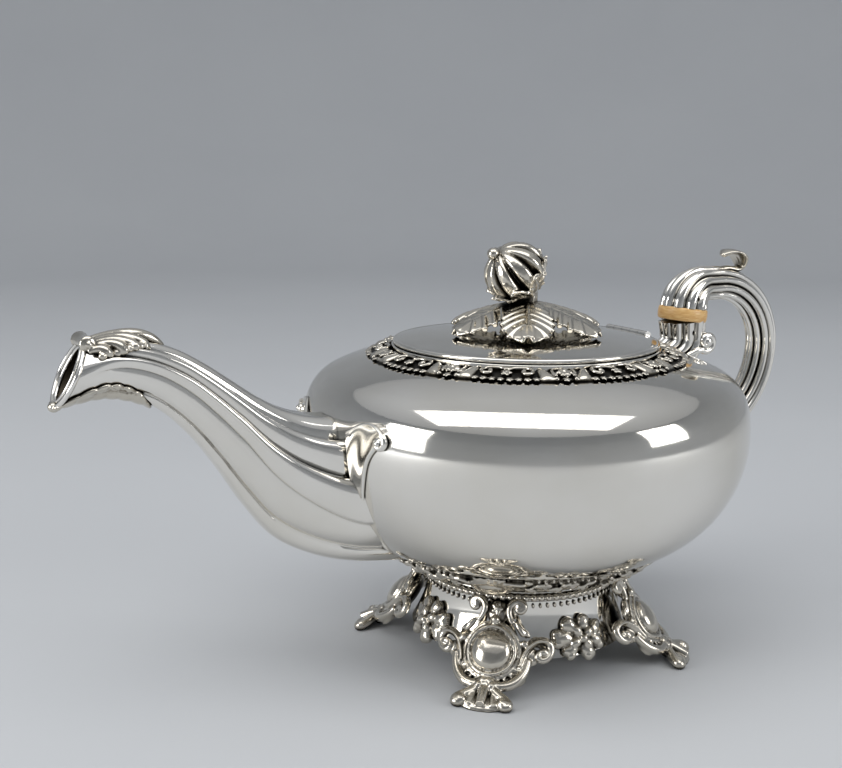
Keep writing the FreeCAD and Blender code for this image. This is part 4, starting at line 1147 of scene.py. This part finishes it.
def make_shoulder_border():
    spot = shoulder_patch(270)
    pieces = []
    curl = [(0.4, 6.4), (1.4, 7.5), (3.0, 8.0)] + [(6.1 + x, 4.8 + y) for x, y in volute(3.3, 105, -320)]
    tendril = [(15.2, 7.8), (14.3, 6.2), (14.6, 4.2), (15.6, 3.0)]
    tongue = [(10.8, 7.7, 1.2), (11.9, 4.4, 2.1), (13.2, 0.2, 2.9)]
    for side in (-1, 1):
        pieces += rod(spot, mirrored(curl, side), 0.66, 0.56, 1.3)
        pieces.append(gadroon(spot, [(side * across, up, half) for across, up, half in tongue], 1.9))
        for place in range(4):
            across, up = (1.35 + 2.65 * place) * side, 0.4 + 0.12 * place
            pieces += blossom(spot, across, up, 1.35, 0.75, 5, 30 * place)
        pieces.append(bead(spot, 15.4 * side, 1.0, 0.9, 0.7))
        pieces += rod(spot, mirrored(tendril, side), 0.6, 0.4, 1.0)
    pieces += blossom(spot, 0, 3.9, 2.0, 1.2)
    pieces.append(bead(spot, 0, 7.4, 0.9, 1.0))
    for up, size, lift, petals in ((4.4, 2.7, 1.2, 6), (0.7, 1.5, 0.7, 5), (7.6, 1.3, 0.7, 5)):
        pieces += blossom(spot, border_pitch / 2, up, size, lift, petals)
    border = ring_of(pieces, "raw_border", BORDER_REPEATS, 0.28, 0)
    plate = band("plate", shoulder_patch, [3 * place for place in range(120)], 0.9, 8.0, 0.45)
    whole = cast("shoulder_border_cast", [border, tidy(plate)], 0.3, 1)
    apply(whole, "DECIMATE", ratio=0.55)
    # The border's plate is darkened by height: its oxide, and painted shade between the relief.
    dark_ground = cast_silver("border_silver", border_ground)
    return finish(whole, dark_ground, "pot", ["shoulder_border"], 60)


make_shoulder_border()

# Border under the belly: a cartouche over each foot, a leaf point between

APRON_LOW, APRON_HIGH = (43.5, 35.0), (52.0, 42.6)


def apron_patch(angle):
    """Across runs round the pot, up climbs the flaring band under the belly."""
    low, high = Vector(APRON_LOW), Vector(APRON_HIGH)
    rise = (high - low).normalized()
    out = Vector((rise[1], -rise[0]))
    middle = (low[0] + high[0]) / 2

    def surface(across, up, lift):
        spot = low + rise * up + out * lift
        turn = math.radians(angle) + across / middle
        return spot[0] * math.cos(turn), spot[0] * math.sin(turn), spot[1]
    return surface


apron_width = (Vector(APRON_HIGH) - Vector(APRON_LOW)).length


def ellipse(half_across, half_up, up, count=24):
    turns = [2 * math.pi * step / count for step in range(count + 1)]
    return [(half_across * math.cos(turn), up + half_up * math.sin(turn)) for turn in turns]


def make_base_border():
    spot = apron_patch(225)
    pieces = [lump(spot, 0, 5.6, (4.4, 2.9, 1.6), 1.2, 0, 24)]
    pieces += rod(spot, ellipse(5.7, 4.0, 5.6), 0.75, 0.75, 1.4, False)
    pieces += rod(spot, ellipse(7.2, 5.2, 5.6), 0.6, 0.6, 1.1, False)
    for place in range(5):
        pieces += blossom(spot, -4.4 + 2.2 * place, 10.9 + 0.5 * (2 - abs(place - 2)), 1.2, 0.9)
    for side in (-1, 1):
        curl = placed(scroll(430, 60, 5.2), 10.2 * side, 8.4, 0 if side > 0 else 180, side)
        pieces += rod(spot, curl, 0.8, 0.45, 1.0)
        for place in range(5):
            across, odd = (13.0 + 4.6 * place) * side, place % 2
            pieces += blossom(spot, across, 4.2 + 2.2 * odd, 2.3, 0.9, 5, 20 * place)
            pieces.append(lump(spot, across + 2.1 * side, 7.4 - 3.2 * odd, (2.0, 0.9, 0.8), 0.8, 40 * side))
            pieces.append(lump(spot, across + 1.2 * side, 2.2 + 5.6 * odd, (1.7, 0.8, 0.8), 0.8, -35 * side))
            pieces.append(bead(spot, across, 9.6, 0.75, 0.7))
            pieces.append(bead(spot, across + 2.3 * side, 10.4, 0.65, 0.6))
    tip = math.pi / 4 * (APRON_LOW[0] + APRON_HIGH[0]) / 2
    for place in range(4):
        size = [(1.0 - 0.17 * place) * half for half in (2.2, 1.9, 1.0)]
        pieces.append(lump(spot, tip, 9.8 + 2.1 * place, size, 0.4 + 0.1 * place))
    border = ring_of(pieces, "raw_base_border", 4, 0.4, 0)
    plate = band("plate", apron_patch, [3 * place for place in range(120)], 0.4, apron_width + 0.4, -1.4)
    whole = cast("base_border_cast", [border, tidy(plate)], 0.42, 1)
    return chased(whole, nodes=["base_border"])


make_base_border()

# Foot: a shield with a polished boss, horns, side scrolls and a spread toe

# Middle line of a foot, (r, z), from the toe up to the collar; the boss is at the fifth point
FOOT_LINE = [
    (62.0, 1.2),
    (56.3, 3.6),
    (52.0, 6.6),
    (48.5, 10.2),
    (45.0, 15.0),
    (40.5, 22.0),
    (37.0, 28.0),
    (34.8, 33.0),
]
FOOT_BEND = 26.0
# Scrolls on one side of a foot, (across, up) from its middle line: the horn beside the collar, the side
# curl, the rim of the cup under the boss and the toe's lobe
FOOT_HORN = [
    (6.0, 8.4),
    (4.4, 10.8),
    (3.9, 13.4),
    (5.0, 15.7),
    (7.4, 16.3),
    (9.2, 14.9),
    (9.0, 12.9),
    (7.4, 12.3),
    (6.6, 13.6),
    (7.5, 14.3),
]
FOOT_CURL = [
    (11.0, -10.0),
    (10.2, -6.6),
    (10.6, -2.6),
    (12.4, 1.2),
    (15.6, 2.8),
    (18.8, 1.0),
    (19.6, -2.8),
    (17.4, -5.2),
    (14.8, -3.8),
    (15.4, -1.2),
    (17.0, -1.8),
]
FOOT_RIM = [(12.4, -4.0), (12.4, -7.6), (10.4, -11.6), (6.6, -14.2), (2.6, -13.6), (1.0, -12.4)]
TOE_LOBE = [(1.6, -13.6), (3.4, -16.0), (6.6, -18.6), (9.0, -21.4), (8.8, -23.4), (7.0, -22.8), (7.2, -21.2)]
TOE_FLUTE = [(3.2, -15.5), (3.6, -19.0), (4.2, -23.2)]
BOSS_UP = -1.4
FEET = {"foot_front_left": 225, "foot_front_right": 315, "foot_rear_left": 135, "foot_rear_right": 45}


def foot_patch():
    """Across runs along the skirt, up climbs the foot from its boss; the sides fall back round the corner."""
    line = [Vector(point) for point in FOOT_LINE]
    marks = [0.0]
    for here, there in zip(line, line[1:]):
        marks.append(marks[-1] + (there - here).length)
    boss = marks[4]

    def surface(across, up, lift):
        reach = min(max(up + boss, 0.0), marks[-1] - 0.01)
        left = max(place for place in range(len(marks) - 1) if marks[place] <= reach)
        share = (reach - marks[left]) / (marks[left + 1] - marks[left])
        spot = line[left].lerp(line[left + 1], share)
        slope = (line[min(left + 2, len(line) - 1)] - line[max(left - 1, 0)]).normalized()
        out = Vector((slope[1], -slope[0]))
        back = across * across / (2 * FOOT_BEND)
        spot = spot + out * lift - Vector((back, 0))
        return spot[0], across, spot[1]
    return surface


def egg(half_across, half_up, up):
    """An oval line that narrows a little upwards."""
    line = ellipse(half_across, half_up, up, 28)
    return [(across * (1 - 0.1 * (height - up) / half_up), height) for across, height in line]


def make_foot():
    spot = foot_patch()
    pieces = [lump(spot, 0, BOSS_UP, (9.6, 10.0, 3.6), -2.0, 0, 28)]
    pieces.append(lump(spot, 0, BOSS_UP, (6.9, 7.3, 3.7), 0.8, 0, 32))
    pieces += rod(spot, egg(8.0, 8.5, BOSS_UP), 0.75, 0.75, 1.3, False)
    pieces += rod(spot, egg(9.4, 9.9, BOSS_UP), 0.8, 0.8, 0.4, False)
    pieces.append(bead(spot, 0, 9.4, 1.6, 1.0))
    pieces += blossom(spot, 0, 13.4, 2.3, 0.4)
    pieces.append(lump(spot, 0, 12.5, (4.0, 4.4, 2.0), -1.6))
    for side in (-1, 1):
        pieces += rod(spot, mirrored(FOOT_HORN, side), 1.35, 0.9, 0.6)
        pieces += rod(spot, mirrored(FOOT_CURL, side), 1.5, 1.0, 0.4)
        crest = [(x, y - 0.2) for x, y in FOOT_CURL[1:6]]
        pieces += rod(spot, mirrored(crest, side), 0.6, 0.5, 1.9, False)
        pieces.append(lump(spot, 12.6 * side, -2.6, (3.6, 3.4, 1.4), -0.8))
        pieces.append(lump(spot, 8.4 * side, -8.4, (4.4, 4.6, 1.8), -1.3, 30 * side))
        pieces.append(bead(spot, 10.6 * side, 1.4, 1.45, 0.8))
        pieces.append(lump(spot, 8.6 * side, 6.6, (1.2, 3.2, 1.2), 0.6, 28 * side))
        pieces.append(lump(spot, 10.4 * side, 5.4, (1.0, 2.4, 1.0), 0.2, 40 * side))
        pieces += rod(spot, mirrored(FOOT_RIM, side), 1.8, 1.3, 0.4)
        for place in range(6):
            angle = math.radians(-22 - 11.5 * place)
            across, up = 10.6 * math.cos(angle), BOSS_UP + 11.4 * math.sin(angle)
            pieces.append(bead(spot, side * across, up, 0.65, 0.5))
        pieces.append(bead(spot, 2.2 * side, -14.2, 1.3, 1.2))
        pieces += rod(spot, mirrored(TOE_LOBE, side), 2.0, 1.5, 0.3)
        pieces += rod(spot, mirrored(TOE_FLUTE, side), 1.5, 1.3, 0.0, False)
    pieces.append(lump(spot, 0, -9.0, (7.4, 5.4, 2.4), -1.8))
    pieces += rod(spot, [(0, -9.0), (0, -13.0), (0, -17.0)], 3.3, 2.6, -1.2, False)
    pieces += rod(spot, [(0, -15.0), (0, -19.0), (0, -23.6)], 1.9, 1.6, 0.9, False)
    pieces.append(lump(spot, 0, -20.5, (8.0, 3.6, 1.4), -0.6))
    foot = cast("foot", pieces, 0.34, 2)
    for corner in foot.data.vertices:
        corner.co.z = max(corner.co.z, 0.0)
    set_round(foot, FEET)


make_foot()

# Flower clusters on the skirt between the feet


def skirt_patch(across, up, lift):
    """Across runs along the skirt, up climbs it from its lower edge; the outward way is +X."""
    height = SKIRT_HEM + up
    radius = skirt_radius(height) + lift
    turn = across / SKIRT_HEM_RADIUS
    return radius * math.cos(turn), radius * math.sin(turn), height


# Leaves round a cluster: where each points, in degrees, and its share of the full size
CLUSTER_LEAVES = [(18, 1.0), (72, 0.9), (122, 1.0), (176, 1.15), (230, 0.95), (284, 1.05), (334, 0.95)]
CLUSTERS = {
    "skirt_flower_front": 270,
    "skirt_flower_rear": 90,
    "skirt_flower_spout": 180,
    "skirt_flower_handle": 0,
}


def make_skirt_flowers():
    spot = skirt_patch
    pieces = [lump(spot, 0, 6.0, (8.6, 5.6, 1.7), 0.2, 0, 20)]
    for turn, size in CLUSTER_LEAVES:
        across, up = 7.0 * math.cos(math.radians(turn)), 4.4 * math.sin(math.radians(turn))
        lean = math.degrees(math.atan2(up, across))
        pieces.append(lump(spot, across, 5.7 + up, (3.7 * size, 2.7 * size, 2.5), 0.9, lean, 20))
        for split in (-0.18, 0.18):
            end = 1.24 * across - split * up, 5.7 + 1.24 * up + split * across
            pieces.append(lump(spot, *end, (2.3 * size, 1.8 * size, 1.8), 1.2, lean))
    for petal in range(4):
        turn = 90 * petal + 30
        across, up = 3.4 * math.cos(math.radians(turn)), 2.5 * math.sin(math.radians(turn))
        pieces.append(lump(spot, across, 6.0 + up, (2.5, 1.9, 1.9), 2.6, turn, 16))
    pieces.append(bead(spot, 0, 6.0, 1.6, 3.7))
    cluster = cast("cluster", pieces, 0.32, 2)
    set_round(cluster, CLUSTERS)


make_skirt_flowers()

# Finial: a ribbed fruit on drooping leaves

FINIAL_NECK = 127.5
LEAF_REACH = 30.0
FRUIT_RADIUS, FRUIT_HEIGHT, FRUIT_TILT = 11.4, 20.6, 43.0
FRUIT_CENTRE = (-5.4, 0.0, 139.2)
FRUIT_RIBS, FRUIT_GROOVE = 9, 0.38
# The fruit's side, from the stem end: shares of its height and of its radius there
FRUIT_SIDE = [
    (0.0, 0.30),
    (0.03, 0.42),
    (0.1, 0.64),
    (0.2, 0.83),
    (0.34, 0.96),
    (0.5, 1.0),
    (0.66, 0.95),
    (0.8, 0.80),
    (0.9, 0.58),
    (0.965, 0.34),
    (0.985, 0.16),
]
# A leaf's side lobes and its two tip lobes: how far along the leaf and how far out
LOBE_SLANT = [(0.0, 0.12), (0.05, 0.45), (0.11, 0.78), (0.15, 1.0)]
TIP_SLANT = [(0.74, 0.2), (0.88, 0.6), (0.99, 1.0)]


def leaf_spot(size, share, side, lift):
    """A point on a leaf along +X, widest beyond its middle; size is length, half width, droop and arch."""
    length, width, droop, arch = size
    swell = 0.34 + 0.66 * math.sin(min(1.0, share / 0.6) * math.pi / 2)
    blunt = math.sqrt(max(0.03, 1 - max(0.0, (share - 0.6) / 0.4) ** 2.4))
    height = arch * math.sin(math.pi * share * 0.75) - droop * share ** 1.25
    height -= 0.26 * width * side ** 2 * swell
    return Vector((length * share, width * swell * blunt * side, height + lift))


def make_leaf(size, lobes):
    """A leaf of a blade, a midrib and pairs of lobes that slant from the midrib to the edge."""
    rings = []
    for row in range(31):
        rings.append([leaf_spot(size, row / 30, 0.84 * (column / 8 - 1), 0) for column in range(17)])
    blade = skin("blade", rings, closed_rings=False)
    apply(blade, "SOLIDIFY", thickness=1.0 * MM, offset=-1)
    thick = 0.34 * size[0] / (lobes + 1)
    midrib = [leaf_spot(size, step / 10, 0, 0.5 * thick) for step in range(11)]
    pieces = [tidy(blade), wire("midrib", midrib, [0.75 * thick - 0.04 * thick * step for step in range(11)])]
    for lobe in range(lobes):
        start = 0.9 * lobe / lobes
        path = [(min(1, start + ahead), out) for ahead, out in LOBE_SLANT]
        for side in (-1, 1):
            line = [leaf_spot(size, share, side * out, 0.6 * thick) for share, out in path]
            pieces.append(wire("lobe", line, [0.55 * thick, 0.8 * thick, thick, 0.85 * thick]))
    for out in (-0.55, 0.55):
        line = [leaf_spot(size, share, out * swing, 0.35 * thick) for share, swing in TIP_SLANT]
        pieces.append(wire("tip", line, [0.6 * thick, 0.9 * thick, 0.8 * thick], order=3))
    return joined("leaf", pieces)


def turned_leaf(size, lobes, angle, reach, height):
    """A leaf that starts at reach from the axis, turned to its angle."""
    start = Matrix.Translation(Vector((reach, 0, height)) * MM)
    return moved(make_leaf(size, lobes), about_axis(angle) @ start)


def make_finial_leaves():
    leaves = []
    for place in range(6):
        length = LEAF_REACH - 3.2 - (place % 2)
        leaves.append(turned_leaf((length, 9.2, 8.4, 0.8), 6, 60 * place - 2, 2.6, 127.0))
        leaves.append(turned_leaf((14.0, 4.8, 4.4, 0.4), 5, 60 * place + 28, 2.2, 127.4))
    stem = cap_ends(turned("stem", [(4.4, 117.6), (4.4, 123.5), (3.6, 126.0), (3.4, FINIAL_NECK)], 64))
    chased(cast("finial_leaves_cast", leaves + [stem], 0.3, 1), "lid", ["finial_leaves"])


def make_finial_fruit():
    rings = []
    for share, wide in FRUIT_SIDE:
        depth = FRUIT_GROOVE * min(1.0, 6 * share * (1.2 - share))
        ring = []
        for turn in [2 * math.pi * step / 128 for step in range(128)]:
            groove = (1 - abs(math.sin(FRUIT_RIBS * turn / 2))) ** 2.2
            radius = FRUIT_RADIUS * wide * (1 - depth * groove)
            ring.append((radius * math.cos(turn), radius * math.sin(turn), FRUIT_HEIGHT * share))
        rings.append(ring)
    fruit = cap_ends(skin("melon", rings))
    apply(fruit, "SUBSURF", levels=1, render_levels=1)
    pieces = [fruit, ball("stalk", (-0.8, 0, FRUIT_HEIGHT * 0.98), (1.6, 1.6, 2.4))]
    pieces.append(ball("knob", (-2.4, -0.6, FRUIT_HEIGHT + 0.9), (2.3, 2.3, 2.1)))
    pieces += [turned_leaf((9.2, 3.8, -9.4, -0.9), 3, 45 * place, 3.2, 0.4) for place in range(8)]
    tilt = Matrix.Rotation(-math.radians(FRUIT_TILT), 4, "Y")
    middle = Matrix.Translation(Vector((0, 0, -FRUIT_HEIGHT / 2)) * MM)
    leaning = moved(joined("fruit", pieces), Matrix.Translation(Vector(FRUIT_CENTRE) * MM) @ tilt @ middle)
    line = [(0, 0, 126.0), (1.0, 0, 128.6), (2.0, 0, 131.2), (1.0, 0, 134.0)]
    neck = wire("neck", line, [3.4, 3.2, 3.0, 2.6])
    chased(cast("finial_fruit_cast", [leaning, neck], 0.28, 2), "lid", ["finial_fruit"])


make_finial_leaves()
make_finial_fruit()

# Silver for the solids that stay as they are

for name, solid in frame["nodes"].items():
    if not solid.hide_render:
        slot = next(part["material_slot"] for part in frame["record"]["subparts"] if part["node"] == name)
        material = {"polished_silver": SILVER, "cast_silver": CAST, "ivory": IVORY}[slot]
        solid.data.materials.clear()
        solid.data.materials.append(material)

# Floor, light and camera

ROOM, COVE, WALL_TOP = 2400.0, 900.0, 1700.0
cove = arc((ROOM - COVE, COVE), COVE, -90, 0, 16)
floor = turned("floor", [(1.0, 0.0), (ROOM / 3, 0.0)] + cove + [(ROOM, WALL_TOP)], 96)
only(floor)
bpy.ops.object.shade_smooth()
paper, tree, shader, place = new_material("pale_paper_floor")
mottle = add_node(tree, "ShaderNodeTexNoise", {"Vector": place, "Scale": 3.0, "Detail": 4.0})
stops = [(0.0, "#c3c5c8"), (1.0, "#cbcdcf")]
tone = add_node(tree, "ShaderNodeValToRGB", {"Fac": mottle.outputs["Fac"]}, stops)
set_inputs(tree, shader, {"Base Color": tone.outputs["Color"], "Roughness": 0.85})
floor.data.materials.append(paper)


def soft_box(name, azimuth, elevation, distance, size, watts):
    """A rectangular lamp that faces the pot; its distance and size are metres."""
    turn, rise = math.radians(azimuth), math.radians(elevation)
    aim = Vector((math.sin(turn) * math.cos(rise), -math.cos(turn) * math.cos(rise), math.sin(rise)))
    lamp = bpy.data.lights.new(name, "AREA")
    lamp.shape = "RECTANGLE"
    lamp.size, lamp.size_y = size
    lamp.energy = watts
    thing = new_object(name, lamp)
    thing.location = Vector((0, 0, 0.08)) + aim * distance
    thing.rotation_euler = aim.to_track_quat("Z", "Y").to_euler()


soft_box("left_box", -93, 14, 1.3, (0.55, 0.65), 8)
soft_box("right_box", 40, 18, 1.4, (0.55, 0.65), 5)
soft_box("top_box", -34, 72, 1.5, (2.2, 1.0), 12)

world = bpy.data.worlds.new("studio")
bpy.context.scene.world = world
world.use_nodes = True
# A grey room, darker round the walls and paler overhead, so that the relief shows in the polish
sky = world.node_tree
way = add_node(sky, "ShaderNodeTexCoord")
height = add_node(sky, "ShaderNodeSeparateXYZ", {"Vector": way.outputs["Generated"]})
stops = [(0.05, "#63666b"), (0.85, "#c6c9cd")]
walls = add_node(sky, "ShaderNodeValToRGB", {"Fac": height.outputs["Z"]}, stops)
set_inputs(sky, sky.nodes["Background"], {"Color": walls.outputs["Color"], "Strength": 0.85})

# The photograph's view: distance, height and turns of a camera with its picture's frame 842 by 768
PHOTO_WIDTH, FOCAL_PIXELS, SENSOR = 842, 1200, 36.0
DISTANCE, ELEVATION, AZIMUTH, TARGET = 0.44256, 14.113, -33.814, 0.07
PAN, TILT, ROLL = -4.931, 3.456, 1.685


def make_camera():
    rise, turn = math.radians(ELEVATION), math.radians(AZIMUTH)
    back = Vector((math.sin(turn) * math.cos(rise), -math.cos(turn) * math.cos(rise), math.sin(rise)))
    right = (-back).cross(Vector((0, 0, 1))).normalized()
    up = right.cross(-back)
    view = Matrix((right, up, back)).transposed()
    for axis, angle in (("Y", -PAN), ("X", TILT), ("Z", ROLL)):
        view = view @ Matrix.Rotation(math.radians(angle), 3, axis)
    lens = bpy.data.cameras.new("camera")
    lens.sensor_width = SENSOR
    lens.lens = SENSOR * FOCAL_PIXELS / PHOTO_WIDTH
    eye = new_object("camera", lens)
    eye.matrix_world = Matrix.Translation(Vector((0, 0, TARGET)) + back * DISTANCE) @ view.to_4x4()
    bpy.context.scene.camera = eye


make_camera()
bpy.context.scene.view_settings.view_transform = "Standard"
